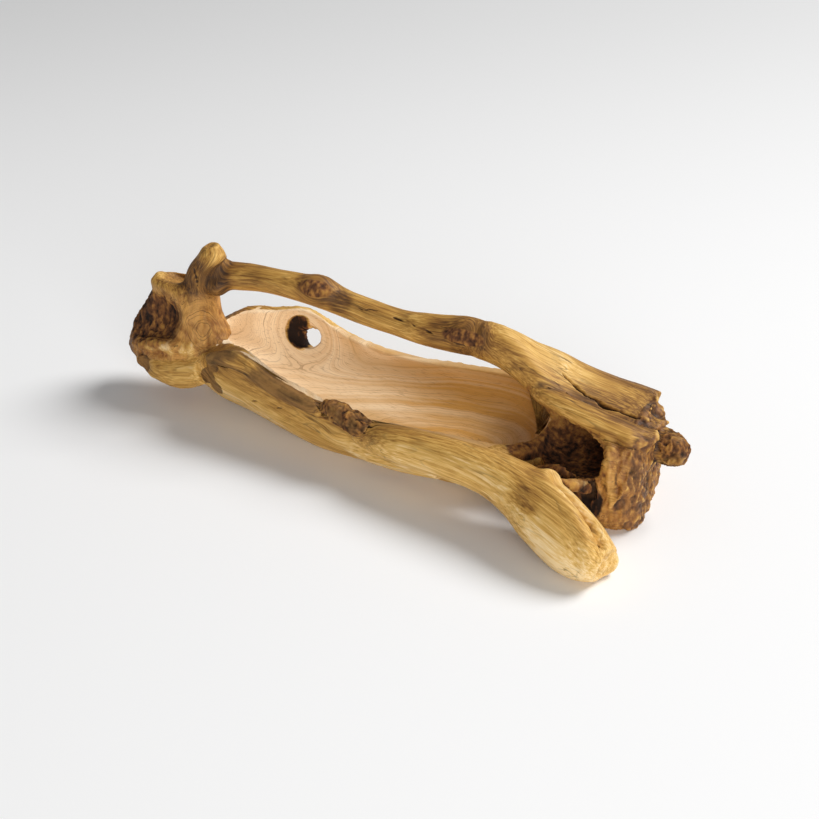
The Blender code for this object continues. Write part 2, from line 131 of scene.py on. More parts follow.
# Rot right behind the lip, as points with a reach
LIP_ROT = [((134, 48, 52), 20), ((142, 38, 54), 20), ((152, 48, 66), 18), ((158, 22, 60), 16)]

# Scars of lost twigs, with crumbled wood in them: centre and half sizes
SCARS = [((-100, -20, 165), (20, 14, 9)), ((70, -14, 150), (27, 12, 9))]

# Drying cracks: points along each, half its width and its depth
CRACKS = {
    "handle": (
        [(-60, -16, 153), (-29, -11, 152), (-6, -10, 150), (33, -17, 147), (62, -18, 143), (88, -17, 140)],
        1.3, 3.0,
    ),
    "handle_scar": ([(36, -12, 153), (59, -11, 156), (82, -9, 155), (96, -12, 147)], 1.3, 1.6),
    "roof": (
        [(150, 14, 135), (175, 9, 121), (190, 6, 114), (213, 2, 106), (245, 4, 101), (280, 18, 94)],
        2.3, 7.0,
    ),
    "roof_edge": ([(206, 43, 111), (226, 49, 107), (244, 54, 103), (262, 58, 97)], 0.9, 1.2),
    "gnarl": (
        [(-66, -86, 70), (-48, -88, 66), (-30, -90, 68), (-12, -88, 66), (10, -84, 65), (40, -80, 68)],
        1.5, 4.0,
    ),
    "gnarl_fold": ([(-40, -93, 64), (-30, -86, 73), (-20, -84, 75)], 1.8, 4.0),
    "gnarl_hole": ([(-18, -93, 60), (-12, -88, 68), (-2, -86, 70)], 2.0, 4.0),
    "foot": ([(256, -114, 58), (268, -124, 50), (279, -134, 38), (285, -140, 16)], 2.0, 5.0),
    "hull": ([(-190, -57, 30), (-150, -66, 40), (-114, -73, 46), (-59, -80, 52)], 0.9, 1.4),
    "hull_low": ([(-196, -60, 46), (-150, -66, 48), (-102, -76, 54)], 0.8, 1.2),
    "stub": ([(-246, -31, 160), (-244, -32, 153), (-241, -33, 138)], 2.2, 2.4),
    "belly": ([(24, -108, 40), (44, -112, 38), (66, -112, 36)], 1.6, 2.0),
}

# Ridges that stand out of the wood, and valleys in it: points along each, how far they reach and their height
RIDGES = {
    "roof": ([(76, -2, 160), (103, 3, 158), (127, -1, 145), (150, -8, 130), (166, -22, 110)], 17, 4.0),
    "foot": (
        [(190, -96, 74), (212, -110, 72), (246, -126, 61), (270, -142, 42), (277, -152, 16)],
        12, 5.0,
    ),
    "foot_torn": (
        [(204, -90, 72), (226, -103, 70), (256, -116, 60), (277, -130, 44), (286, -138, 12)],
        8, -11.0,
    ),
    "foot_fold": ([(172, -112, 66), (200, -126, 60), (232, -136, 48), (256, -148, 28)], 14, -2.5),
    "burl_lip": (
        [(-328, -52, 58), (-300, -62, 68), (-272, -64, 76), (-245, -59, 76), (-222, -54, 72)],
        10, 8.0,
    ),
    "burl_shelf": ([(-318, -26, 118), (-300, -32, 128), (-280, -36, 130), (-256, -38, 126)], 9, 5.0),
    "burl_fold": ([(-306, -38, 126), (-298, -46, 108), (-284, -54, 88)], 6, 5.0),
    "burl_curtain": ([(-282, -40, 128), (-274, -44, 106), (-266, -52, 86)], 6, 5.0),
    "burl_hem": ([(-262, -40, 128), (-256, -40, 108), (-256, -50, 86)], 6, 4.0),
    "burl_under": ([(-330, -56, 50), (-304, -66, 57), (-280, -68, 62), (-262, -66, 64)], 7, -7.0),
    "log_post": (
        [(234, -28, 94), (244, -36, 86), (248, -44, 74), (249, -50, 58), (256, -50, 40)],
        9, 7.0,
    ),
    "log_wall": ([(246, -52, 22), (262, -48, 44), (270, -44, 68)], 9, 5.0),
    "hull_fold": ([(-214, -58, 52), (-196, -70, 66), (-170, -78, 74)], 10, -2.0),
}

# Swellings, and dents where the height is negative: centre, how far each reaches and its height
SWELLINGS = {
    "handle_knot": ((-101, -18, 168), 26, 4.0),
    "foot_lip": ((205, -88, 70), 16, 6.0),
    "foot_corner": ((288, -116, 12), 18, 7.0),
    "rim_hump": ((-172, -80, 84), 24, 2.0),
    "handle_end": ((70, -6, 156), 26, 3.0),
    "burl_arch": ((-221, -27, 137), 15, 8.0),
    "burl_tip": ((-301, -26, 134), 14, 5.0),
    "strand_end": ((262, -34, 90), 18, 5.0),
    "burl_dip": ((-278, -10, 142), 32, -12.0),
    "burl_scoop": ((-284, -54, 98), 36, -10.0),
    "stub_fillet": ((-227, -20, 167), 20, 9.0),
    "stub_tip": ((-235, -20, 187), 12, -4.0),
    "log_far_corner": ((280, 60, 86), 32, -12.0),
    "log_notch": ((268, 34, 96), 14, -6.0),
    "roof_corner": ((258, 60, 96), 16, -9.0),
    "hole_wall": ((-171, 66, 63), 22, 13.0),
    "flake_hollow": ((-296, -68, 44), 16, -4.0),
}

# Places that are worn smooth, as points with a reach
SMOOTHED = [((-262, -18, 138), 28), ((-232, -20, 166), 16), ((-217, -27, 138), 20)]

# Places with old bark, as points with a reach
OLD_BARK = [((-216, -57, 49), 13), ((-208, -66, 64), 13), ((-207, -57, 36), 11), ((-298, -64, 44), 13)]

# The pale ledge under the pocket of the burl, as points with a reach
PALE_LEDGE = [((-290, -62, 72), 14), ((-265, -63, 74), 14), ((-242, -58, 74), 14)]

# Stains on the handle, the foot and the stub, as points with a reach
STAINS = [
    ((70, -14, 148), 34),
    ((40, -16, 146), 26),
    ((-101, -18, 166), 28),
    ((-75, -18, 156), 18),
    ((190, -125, 65), 14),
    ((204, -129, 63), 14),
    ((-243, -30, 146), 30),
    ((-225, -28, 150), 26),
    ((-215, -30, 128), 20),
]

# Knots that the grain runs round: centre and radius, in millimetres
KNOTS = [
    ((-101, -16, 166), 17),
    ((68, -12, 152), 13),
    ((-28, -86, 70), 18),
    ((-40, -84, 46), 20),
    ((-226, -42, 92), 22),
]

# Spacing of the lines of late wood and of the hair lines between them on the carved faces, in metres
LATE_SPACING = 2.4 * MM
HAIR_SPACING = 0.9 * MM

# What the pieces carry for their finish
MARKS = (
    "grain", "ring", "carved", "rot", "firm_and_shade", "bark", "pale", "stain", "ragged", "crack", "figure",
    "edge", "hollow",
)


def length_property(name, description, millimetres):
    return bpy.props.FloatProperty(
        name=name, description=description, default=millimetres * MM, unit="LENGTH"
    )


class SkinSettings(bpy.types.PropertyGroup):
    """How the root's surface is shaped."""

    voxel: length_property("Fineness", "Spacing of the points of the skin", 2.0)
    swell: length_property("Swell", "How far members swell to close their seams", 0.5)
    blend_rounds: bpy.props.IntProperty(
        name="Blend", description="Rounds of filling where members grew together", default=120
    )
    lump_depth: length_property("Lumps", "Height of the slow swellings of a limb", 2.6)
    flute_depth: length_property("Flutes", "Depth of the long flutes along the grain", 1.5)
    fibre_depth: length_property("Fibres", "Depth of the fine ridges along the grain", 0.45)
    rot_depth: length_property("Rot", "How deep rot has eaten the hollows", 6.0)
    bark_depth: length_property("Bark", "Depth of the bark's furrows", 1.8)
    fold_depth: length_property("Folds", "Depth of the folds of curled grain", 8.0)
    ragged_depth: length_property("Ragged ends", "How far broken ends are torn", 13.0)
    crack_depth: bpy.props.FloatProperty(
        name="Cracks", description="Share of their full depth that the cracks are opened to", default=1.0
    )
    seed: bpy.props.FloatProperty(name="Seed", description="Picks another root of the same kind", default=4.0)


def colour_property(name, description, value):
    return bpy.props.FloatVectorProperty(
        name=name, description=description, default=value, size=3, min=0.0, max=1.0, subtype="COLOR"
    )


class WoodColours(bpy.types.PropertyGroup):
    """Colours of the wood, as the eye sees them in plain light."""

    carved_pale: colour_property("Carved, pale", "Early wood on the carved faces", (0.99, 0.785, 0.525))
    # carved_deep also paints the shade towards the right end of the hollow
    carved_deep: colour_property("Carved, deep", "Slow bands on the carved faces", (0.62, 0.32, 0.075))
    carved_line: colour_property("Carved, line", "Late wood lines on the carved faces", (0.29, 0.135, 0.045))
    umber: colour_property("Umber", "Checks and stained grain", (0.050, 0.022, 0.008))
    brown: colour_property("Brown", "Stained weathered wood", (0.24, 0.105, 0.022))
    gold: colour_property("Gold", "Weathered wood", (0.50, 0.262, 0.055))
    straw: colour_property("Straw", "Dry weathered wood", (0.74, 0.45, 0.125))
    bleached: colour_property("Bleached", "Wood bleached by the sun", (0.92, 0.68, 0.36))
    burl_pale: colour_property("Burl, pale", "Curled grain of the burl", (0.68, 0.345, 0.090))
    burl_deep: colour_property("Burl, deep", "Folds of the burl's grain", (0.26, 0.092, 0.022))
    # rot_black also carries painted shade: the bottom of the log's hollow and the shadow slot
    rot_black: colour_property("Rot, black", "The bottom of a rotten hollow", (0.016, 0.007, 0.004))
    rot_red: colour_property("Rot, red", "Crumbling heartwood", (0.135, 0.052, 0.018))
    rot_tan: colour_property("Rot, tan", "Firm wood showing through the rot", (0.34, 0.150, 0.036))
    bark_dark: colour_property("Bark, dark", "Furrows of the bark", (0.060, 0.030, 0.012))
    bark_grey: colour_property("Bark, grey", "Plates of the bark", (0.27, 0.135, 0.040))


class StageSettings(bpy.types.PropertyGroup):
    """Camera, light and floor."""

    turn: bpy.props.FloatProperty(
        name="Turn", description="Camera's turn round the bowl", default=math.radians(30), subtype="ANGLE"
    )
    rise: bpy.props.FloatProperty(
        name="Rise", description="Camera's height over the ground", default=math.radians(30), subtype="ANGLE"
    )
    distance: bpy.props.FloatProperty(
        name="Distance", description="From the camera to the bowl", default=1.75, unit="LENGTH"
    )
    half_view: bpy.props.FloatProperty(
        name="Half view", description="Half the width seen at the bowl", default=0.43, unit="LENGTH"
    )
    aim_height: bpy.props.FloatProperty(
        name="Aim", description="Height of the point looked at", default=0.04, unit="LENGTH"
    )
    sky: bpy.props.FloatProperty(name="Sky", description="Strength of the even light", default=0.20)
    fill: bpy.props.FloatProperty(
        name="Fill", description="Power of the lamp in front, in watts", default=85.0
    )
    key: bpy.props.FloatProperty(name="Key", description="Power of the main lamp, in watts", default=405.0)
    floor: colour_property("Floor", "Colour of the floor in front", (0.93, 0.93, 0.93))
    # far floor colour: painted shade, darker where the lamps' light falls off
    far_floor_shade: colour_property("Far floor", "Colour of the floor far behind", (0.72, 0.72, 0.72))


class Graph:
    """A node tree that is written as expressions."""

    def __init__(self, tree):
        self.tree = tree

    def add(self, kind, sockets=None, output=0, **settings):
        """Adds a node: its settings first, then what its sockets hold. Gives back one of its outputs."""
        node = self.tree.nodes.new(kind)
        stops = settings.pop("stops", None)
        for name, value in settings.items():
            setattr(node, name, value)
        if stops:
            ramp = node.color_ramp.elements
            while len(ramp) < len(stops):
                ramp.new(0.5)
            for element, (place, colour) in zip(ramp, stops):
                element.position = place
                element.color = (*colour, 1.0)
        for name, value in (sockets or {}).items():
            self.put(value, node.inputs[name])
        return Value(self, node.outputs[output])

    def put(self, value, socket):
        """Links a value to a socket, or sets it there."""
        if isinstance(value, Value):
            self.tree.links.new(value.socket, socket)
        elif socket.type == "RGBA" and len(value) == 3:
            socket.default_value = (*value, 1.0)
        else:
            socket.default_value = value

    def math(self, operation, *values):
        return self.add("ShaderNodeMath", dict(enumerate(values)), operation=operation)

    def vector(self, operation, *values):
        return self.add("ShaderNodeVectorMath", dict(enumerate(values)), operation=operation)

    def noise(self, place, scale=1.0, detail=2.0, output=0):
        """Cloudy values about 0.5 at a place, which may be stretched by a scale for each axis."""
        if not isinstance(scale, (int, float)):
            place, scale = self.vector("MULTIPLY", place, scale), 1.0
        return self.add("ShaderNodeTexNoise", {"Vector": place, "Scale": scale, "Detail": detail}, output)

    def mix(self, share, one, other):
        """One colour turned into another."""
        return self.add("ShaderNodeMix", {0: share, 6: one, 7: other}, 2, data_type="RGBA", clamp_factor=True)

    def ramp(self, value, *stops):
        return self.add("ShaderNodeValToRGB", {0: value}, stops=stops)

    def mark(self, name, output=2):
        """A value that the skin carries."""
        return self.add("ShaderNodeAttribute", output=output, attribute_name=name)

    def lines(self, field):
        """Thin lines where a field passes whole numbers, each with a strength of its own."""
        share = self.math("FRACT", field)
        each = self.add("ShaderNodeTexWhiteNoise", {"W": self.math("FLOOR", field)}, noise_dimensions="1D")
        return share.step(0.70, 0.94) * (1.0 - share.step(0.95, 1.0)) * each.step(0.1, 0.9)

    def warped(self, place, scale, by):
        """A place pushed about by clouds."""
        push = self.vector("SUBTRACT", self.noise(place, scale, 2.0, 1), (0.5, 0.5, 0.5))
        return self.vector("ADD", place, self.vector("MULTIPLY", push, by))


class Value:
    """A socket. Arithmetic on it adds Math nodes."""

    def __init__(self, graph, socket):
        self.graph = graph
        self.socket = socket

    def __add__(self, other):
        return self.graph.math("ADD", self, other)

    def __radd__(self, other):
        return self.graph.math("ADD", other, self)

    def __sub__(self, other):
        return self.graph.math("SUBTRACT", self, other)

    def __rsub__(self, other):
        return self.graph.math("SUBTRACT", other, self)

    def __mul__(self, other):
        return self.graph.math("MULTIPLY", self, other)

    def __rmul__(self, other):
        return self.graph.math("MULTIPLY", other, self)

    def __truediv__(self, other):
        return self.graph.math("DIVIDE", self, other)

    def __abs__(self):
        return self.graph.math("ABSOLUTE", self)

    def step(self, low, high):
        """0 below low and 1 above high, with a soft turn between them."""
        return self.graph.add(
            "ShaderNodeMapRange", {0: self, 1: low, 2: high}, interpolation_type="SMOOTHSTEP", clamp=True
        )

    def ridge(self):
        """1 where a cloudy value crosses its middle, falling to 0 on both sides."""
        return 1.0 - abs(self * 2.0 - 1.0)


def read(items, name, width, kind=np.float32):
    """A property of every item, as an array."""
    values = np.empty(len(items) * width, kind)
    items.foreach_get(name, values)
    return values.reshape(-1, width) if width > 1 else values


def soft_step(low, high, value):
    share = np.clip((value - low) / (high - low), 0, 1)
    return share * share * (3 - 2 * share)


def falls(low, high, value):
    return 1 - soft_step(low, high, value)


def to_line(points, line, reach=math.inf):
    """Distance from each point to a run of straight pieces, and how far along the run it is met, from 0 to 1.

    Points that lie further from the run's box than the reach are left infinitely far away.
    """
    line = np.array(line) * MM
    nearest = np.full(len(points), np.inf)
    reached = np.zeros(len(points))
    around = (points > line.min(axis=0) - reach) & (points < line.max(axis=0) + reach)
    near = np.flatnonzero(around.all(axis=1))
    for i, (start, end) in enumerate(zip(line, line[1:])):
        run = end - start
        here = points[near] - start
        share = np.clip(here @ run / (run @ run), 0, 1)
        away = np.linalg.norm(here - share[:, None] * run, axis=1)
        closer = away < nearest[near]
        nearest[near[closer]] = away[closer]
        reached[near[closer]] = (i + share[closer]) / (len(line) - 1)
    return nearest, reached


def wandering(line, seed, step=2.0, stray=1.7, jitter=0.15):
    """A run of points that sways about the given one, as a drying crack does."""
    line = np.array(line, float)
    draw = np.random.default_rng(seed)
    along = np.concatenate([[0], np.cumsum(np.linalg.norm(np.diff(line, axis=0), axis=1))])
    places = np.linspace(0, along[-1], int(along[-1] / step) + 2)
    middle = np.array([np.interp(places, along, column) for column in line.T]).T
    window = np.hanning(9) / np.hanning(9).sum()
    sway = [np.convolve(draw.normal(0, stray, len(places)), window, "same")[:len(places)] for _ in range(3)]
    return middle + np.array(sway).T + draw.normal(0, jitter, middle.shape)


def to_ball(points, ball):
    """How far out each point lies in an oval hollow: under 1 inside it."""
    centre, half = (np.array(values) * MM for values in ball)
    return np.linalg.norm((points - centre) / half, axis=1)


class Skin:
    """The fused surface as arrays, with what shaping it needs."""

    def __init__(self, mesh):
        self.mesh = mesh
        self.points = read(mesh.vertices, "co", 3).astype(float)
        self.edges = read(mesh.edges, "vertices", 2, np.int32)
        ends = self.edges.T.ravel()
        order = np.argsort(ends, kind="stable")
        self.beside = self.edges[:, ::-1].T.ravel()[order]
        self.degree = np.bincount(ends, minlength=len(self.points))
        self.starts = np.cumsum(self.degree) - self.degree

    def normals(self):
        self.mesh.vertices.foreach_set("co", self.points.astype(np.float32).ravel())
        self.mesh.update()
        return read(self.mesh.vertex_normals, "vector", 3).astype(float)

    def mean(self, values):
        """The mean of each point's neighbours."""
        columns = np.ascontiguousarray(values.reshape(len(values), -1).T)
        sums = [np.add.reduceat(column[self.beside], self.starts) for column in columns]
        return (np.array(sums) / self.degree).T.reshape(values.shape)

    def highest(self, values):
        """The highest of each point's neighbours."""
        return np.maximum.reduceat(values[self.beside], self.starts)

    def spread(self, values, rounds):
        for _ in range(rounds):
            values = (values + self.mean(values)) / 2
        return values

    def relax(self, weight, rounds):
        """Moves points towards their neighbours, each by its own weight."""
        for _ in range(rounds):
            self.points += (self.mean(self.points) - self.points) * weight[:, None]

    def polish(self, weight, rounds):
        """Smooths without shrinking, by turns in and out."""
        for _ in range(rounds):
            self.relax(0.5 * weight, 1)
            self.relax(-0.53 * weight, 1)

    def mark(self, name, values):
        """Stores values on the points for the node trees."""
        kind, field = ("FLOAT_VECTOR", "vector") if values.ndim > 1 else ("FLOAT", "value")
        made = self.mesh.attributes.new(name, kind, "POINT")
        made.data.foreach_set(field, values.astype(np.float32).ravel())


def fused_mesh(settings):
    """One closed mesh round all the members."""
    whole = bmesh.new()
    for name in MEMBERS:
        whole.from_mesh(frame["nodes"][name].data)
    bmesh.ops.remove_doubles(whole, verts=whole.verts, dist=0.001 * MM)
    whole.normal_update()
    for vertex in whole.verts:
        vertex.co += vertex.normal * settings.swell
    mesh = bpy.data.meshes.new("root_skin")
    whole.to_mesh(mesh)
    whole.free()
    lump = bpy.data.objects.new("root_skin", mesh)
    bpy.context.scene.collection.objects.link(lump)
    fuse = lump.modifiers.new("fuse", "REMESH")
    fuse.mode = "VOXEL"
    fuse.voxel_size = settings.voxel
    lump.data = evaluated_mesh(lump)
    lump.modifiers.clear()
    bpy.data.meshes.remove(mesh)
    return lump


def in_detail(points):
    """Where the surface is broken, rotten, cracked or curled."""
    x, y, z = points.T / MM
    fine = (x < -213) | (x > 234) | (to_ball(points, LOG_CAVITY) < 1.3)
    fine |= (x > -62) & (x < 42) & (y < -66) & (z > 46)
    for line, _, _ in (*CRACKS.values(), *RIDGES.values()):
        fine |= to_line(points, line, 6 * MM)[0] < 6 * MM
    for centre, reach, _ in SWELLINGS.values():
        fine |= np.linalg.norm(points - np.array(centre) * MM, axis=1) < reach * MM
    return fine


def refine(lump):
    """Halves the spacing of the points where there is detail, and leaves triangles only."""
    mesh = lump.data
    fine = in_detail(read(mesh.vertices, "co", 3).astype(float))
    chosen = np.flatnonzero(fine[read(mesh.edges, "vertices", 2, np.int32)].all(axis=1))
    shape = bmesh.new()
    shape.from_mesh(mesh)
    shape.edges.ensure_lookup_table()
    bmesh.ops.subdivide_edges(shape, edges=[shape.edges[i] for i in chosen], cuts=1, use_grid_fill=True)
    bmesh.ops.triangulate(shape, faces=shape.faces[:])
    shape.to_mesh(mesh)
    shape.free()


def evaluated_mesh(piece):
    graph = bpy.context.evaluated_depsgraph_get()
    return bpy.data.meshes.new_from_object(piece.evaluated_get(graph))


def member_samples(per_member_area=14.0):
    """Points spread evenly over each member's solid."""
    draw = np.random.default_rng(11)
    samples = {}
    for name in MEMBERS:
        mesh = frame["nodes"][name].data
        mesh.calc_loop_triangles()
        triangles = read(mesh.loop_triangles, "vertices", 3, np.int32)
        corners = read(mesh.vertices, "co", 3)[triangles].astype(float)
        sides = corners[:, 1:] - corners[:, :1]
        areas = np.linalg.norm(np.cross(sides[:, 0], sides[:, 1]), axis=1) / 2
        count = int(areas.sum() * 1e4 * per_member_area)
        chosen = draw.choice(len(areas), count, p=areas / areas.sum())
        shares = np.sort(draw.random((count, 2)), axis=1)
        one, other = shares[:, :1], shares[:, 1:] - shares[:, :1]
        samples[name] = corners[chosen, 0] + one * sides[chosen, 0] + other * sides[chosen, 1]
    return samples


def owners(skin, samples):
    """The member that each point of the skin belongs to, with smooth seams and no islands."""
    stacked = np.concatenate([samples[name] for name in MEMBERS])
    belongs = np.repeat(np.arange(len(MEMBERS)), [len(samples[name]) for name in MEMBERS])
    tree = KDTree(len(stacked))
    for i, point in enumerate(stacked):
        tree.insert(point, i)
    tree.balance()
    nearest = belongs[[tree.find(point)[1] for point in skin.points]]
    owner = np.argmax(skin.spread(np.eye(len(MEMBERS))[nearest], 6), axis=1)
    return adopt(skin, owner, ~in_main_island(skin, owner))


def adopt(skin, owner, stray):
    """Gives stray points to the member that most of their neighbours belong to."""
    stray = stray.copy()
    while stray.any():
        votes = np.eye(len(MEMBERS))[owner]
        votes[stray] = 0
        votes = skin.mean(votes)
        met = stray & (votes.sum(axis=1) > 0)
        owner[met] = np.argmax(votes[met], axis=1)
        stray &= ~met
    return owner


def in_main_island(skin, owner):
    """Whether each point is joined to the largest part of its member."""
    one, other = skin.edges[owner[skin.edges[:, 0]] == owner[skin.edges[:, 1]]].T
    island = np.arange(len(owner))
    while True:
        lowest = np.minimum(island[one], island[other])
        joined = island.copy()
        np.minimum.at(joined, one, lowest)
        np.minimum.at(joined, other, lowest)
        joined = joined[joined]
        if (joined == island).all():
            break
        island = joined
    main = np.zeros(len(owner), bool)
    for i in range(len(MEMBERS)):
        mine = owner == i
        largest = np.argmax(np.bincount(island[mine], minlength=1))
        main |= mine & (island == largest)
    return main


def grain_coordinates(skin, samples, owner, seam):
    """Places along and across the grain, which follows each member's middle line and runs on over seams."""
    grain = np.zeros_like(skin.points)
    one, other = skin.edges.T
    placed = np.zeros(len(MEMBERS), bool)
    for i, name in enumerate(MEMBERS):
        axes = [2, 0, 1] if name in UPRIGHT else [0, 1, 2]
        cloud = samples[name][:, axes]
        mine = owner == i
        here = skin.points[mine][:, axes]
        coordinates = here.copy()
        for k in (1, 2):
            line = np.polyfit(cloud[:, 0], cloud[:, k], 3)
            reach = np.clip(here[:, 0], cloud[:, 0].min(), cloud[:, 0].max())
            coordinates[:, k] -= np.polyval(line, reach)
        grain[mine] = coordinates
        crossing = (mine[one] & placed[owner[other]]) | (mine[other] & placed[owner[one]])
        if crossing.any():
            pairs = skin.edges[crossing]
            mine_first = mine[pairs[:, 0]]
            inner = np.where(mine_first, pairs[:, 0], pairs[:, 1])
            outer = np.where(mine_first, pairs[:, 1], pairs[:, 0])
            grain[mine] += (grain[outer] - grain[inner]).mean(axis=0)
        placed[i] = True
    for _ in range(40):
        grain += (skin.mean(grain) - grain) * seam[:, None]
    for centre, radius in KNOTS:
        away = np.linalg.norm(skin.points - np.array(centre) * MM, axis=1)
        middle = grain[np.argmin(away)].copy()
        pull = 0.85 * np.exp(-((away / (radius * MM)) ** 2))
        grain[:, 1:] += (middle[1:] - grain[:, 1:]) * pull[:, None]
    return grain


def near_seams(skin, owner, reach, pairs=None):
    """1 on the seams between members, or between those of the given pairs, falling to 0 at a reach."""
    sides = np.sort(owner[skin.edges], axis=1)
    crossing = sides[:, 0] != sides[:, 1]
    if pairs is not None:
        wanted = [sorted((MEMBERS.index(one), MEMBERS.index(other))) for one, other in pairs]
        crossing &= np.any([(sides == pair).all(axis=1) for pair in wanted], axis=0)
    fade = np.zeros(len(owner))
    fade[skin.edges[crossing].ravel()] = 1.0
    step = np.linalg.norm(np.diff(skin.points[skin.edges], axis=1), axis=2).mean()
    for _ in range(math.ceil(reach / step)):
        fade = np.maximum(fade, skin.highest(fade) - step / reach)
    return fade


def is_one_of(owner, names):
    return np.isin(owner, [MEMBERS.index(name) for name in names]).astype(float)


def blend_limbs(skin, owner, settings):
    """Smooths the skin between its edges, and fills the wood out where members grew into each other."""
    skin.polish(np.full(len(skin.points), 1.0), 3)
    turned = skin.spread(skin.normals(), 3)
    flat = 1 - soft_step(0.04, 0.12, 1 - np.linalg.norm(turned, axis=1))
    flat = np.maximum(flat, is_one_of(owner, ROUND))
    skin.polish(skin.spread(flat, 2), 25)
    pocket = [1 - soft_step(1.0, 1.5, to_ball(skin.points, ball)) for ball in (BURL_POCKET, BURL_END_ROT)]
    skin.relax(0.5 * np.maximum(*pocket), 60)
    thin = 1 - soft_step(12 * MM, 20 * MM, to_line(skin.points, THIN_EDGE, 20 * MM)[0])
    skin.relax(0.7 * thin * is_one_of(owner, ("log_shell",)), 80)
    seam = near_seams(skin, owner, 26 * MM, GROWN)
    rounds = 15
    for _ in range(settings.blend_rounds // rounds):
        bend = np.einsum("ij,ij->i", skin.spread(skin.points, 5) - skin.points, skin.normals())
        filled = np.clip(1.6 * seam, 0, 1) * soft_step(0.0, 0.2 * MM, skin.spread(bend, 2))
        skin.relax(0.6 * filled, rounds)


def sculpt(skin, owner):
    """Raises the ridges and the swellings, sinks the valleys and the dents, and breaks the log off aslant."""
    raised = np.zeros(len(skin.points))
    for line, reach, height in RIDGES.values():
        away, reached = to_line(skin.points, line, reach * MM)
        taper = np.sin(np.pi * np.clip(reached, 0.0, 1.0)) ** 0.7
        raised += height * MM * taper * soft_step(0, 1, 1 - away / (reach * MM))
    for centre, reach, height in SWELLINGS.values():
        away = np.linalg.norm(skin.points - np.array(centre) * MM, axis=1)
        raised += height * MM * np.clip(1 - (away / (reach * MM)) ** 2, 0, 1) ** 2
    skin.points += skin.normals() * raised[:, None]
    x, y, z = skin.points.T / MM
    broken = np.clip(y + 34, 0, None) * soft_step(248, 279, x) * (1 - soft_step(74, 98, z))
    skin.points[:, 0] -= 0.20 * MM * broken * (1 - skin.spread(is_one_of(owner, ("end_nodule",)), 3))
    skin.relax(0.5 * close_to(skin.points, SMOOTHED), 24)


def carved_zone(skin, owner, normals):
    """The faces left by the carver's gouge: those that look into the hollow."""
    low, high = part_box("carved_bowl")
    middle = skin.points.copy()
    middle[:, 0] = np.clip(middle[:, 0], low.x + 110 * MM, high.x - 70 * MM)
    middle[:, 1] *= 0.25
    middle[:, 2] = high.z + 5 * MM
    towards = middle - skin.points
    towards /= np.linalg.norm(towards, axis=1)[:, None] + 1e-9
    facing = np.einsum("ij,ij->i", towards, normals)
    in_reach = (skin.points[:, 0] < high.x - 5 * MM) & (skin.points[:, 2] > 12 * MM)
    end = soft_step(high.x - 40 * MM, high.x - 10 * MM, skin.points[:, 0])
    far = soft_step(10 * MM, 30 * MM, skin.points[:, 1])
    least = 0.35 + end * (0.3 - 0.6 * far)
    hollowed = is_one_of(owner, ("carved_bowl",)) > 0
    zone = in_reach & (facing > least) & hollowed
    return zone.astype(float)


def growth_rings(skin):
    """Distance from the heart of the wood, under the bowl. The rings bend round the knot hole."""
    x, y, z = skin.points.T
    heart_y = -20 * MM + 0.05 * x + 8 * MM * np.sin(x / 0.075)
    heart_z = -60 * MM + 0.05 * x + 9 * MM * np.sin(x / 0.06 + 1)
    ring = np.hypot((y - heart_y) * 0.8, z - heart_z)
    away, _ = to_line(skin.points, KNOT_HOLE)
    knot = 0.8 * away + 94 * MM
    sharpness = 0.010
    return -sharpness * np.log(np.exp(-ring / sharpness) + np.exp(-knot / sharpness))


def close_to(points, spots):
    """1 at the given spots, falling to 0 at the reach of each."""
    near = np.zeros(len(points))
    for centre, reach in spots:
        away = np.linalg.norm(points - np.array(centre) * MM, axis=1)
        near = np.maximum(near, 1 - soft_step(0.55 * reach * MM, reach * MM, away))
    return near


def crack_shares(skin):
    """How deep in a crack each point lies, from 0 beside it to 1, and the depth that is cut there."""
    inside = np.zeros(len(skin.points))
    depth = np.zeros(len(skin.points))
    for seed, (line, half_width, full_depth) in enumerate(CRACKS.values()):
        away, reached = to_line(skin.points, wandering(line, seed), 3 * half_width * MM)
        taper = np.sin(np.pi * np.clip(reached, 0.02, 0.98)) ** 0.6
        taper *= 0.75 + 0.25 * np.sin(reached * 23 + seed)
        share = np.clip(1 - away / (2 * half_width * MM * taper), 0, 1)
        inside = np.maximum(inside, share)
        depth = np.maximum(depth, full_depth * MM * soft_step(0.25, 0.9, share) * taper)
    return inside, depth


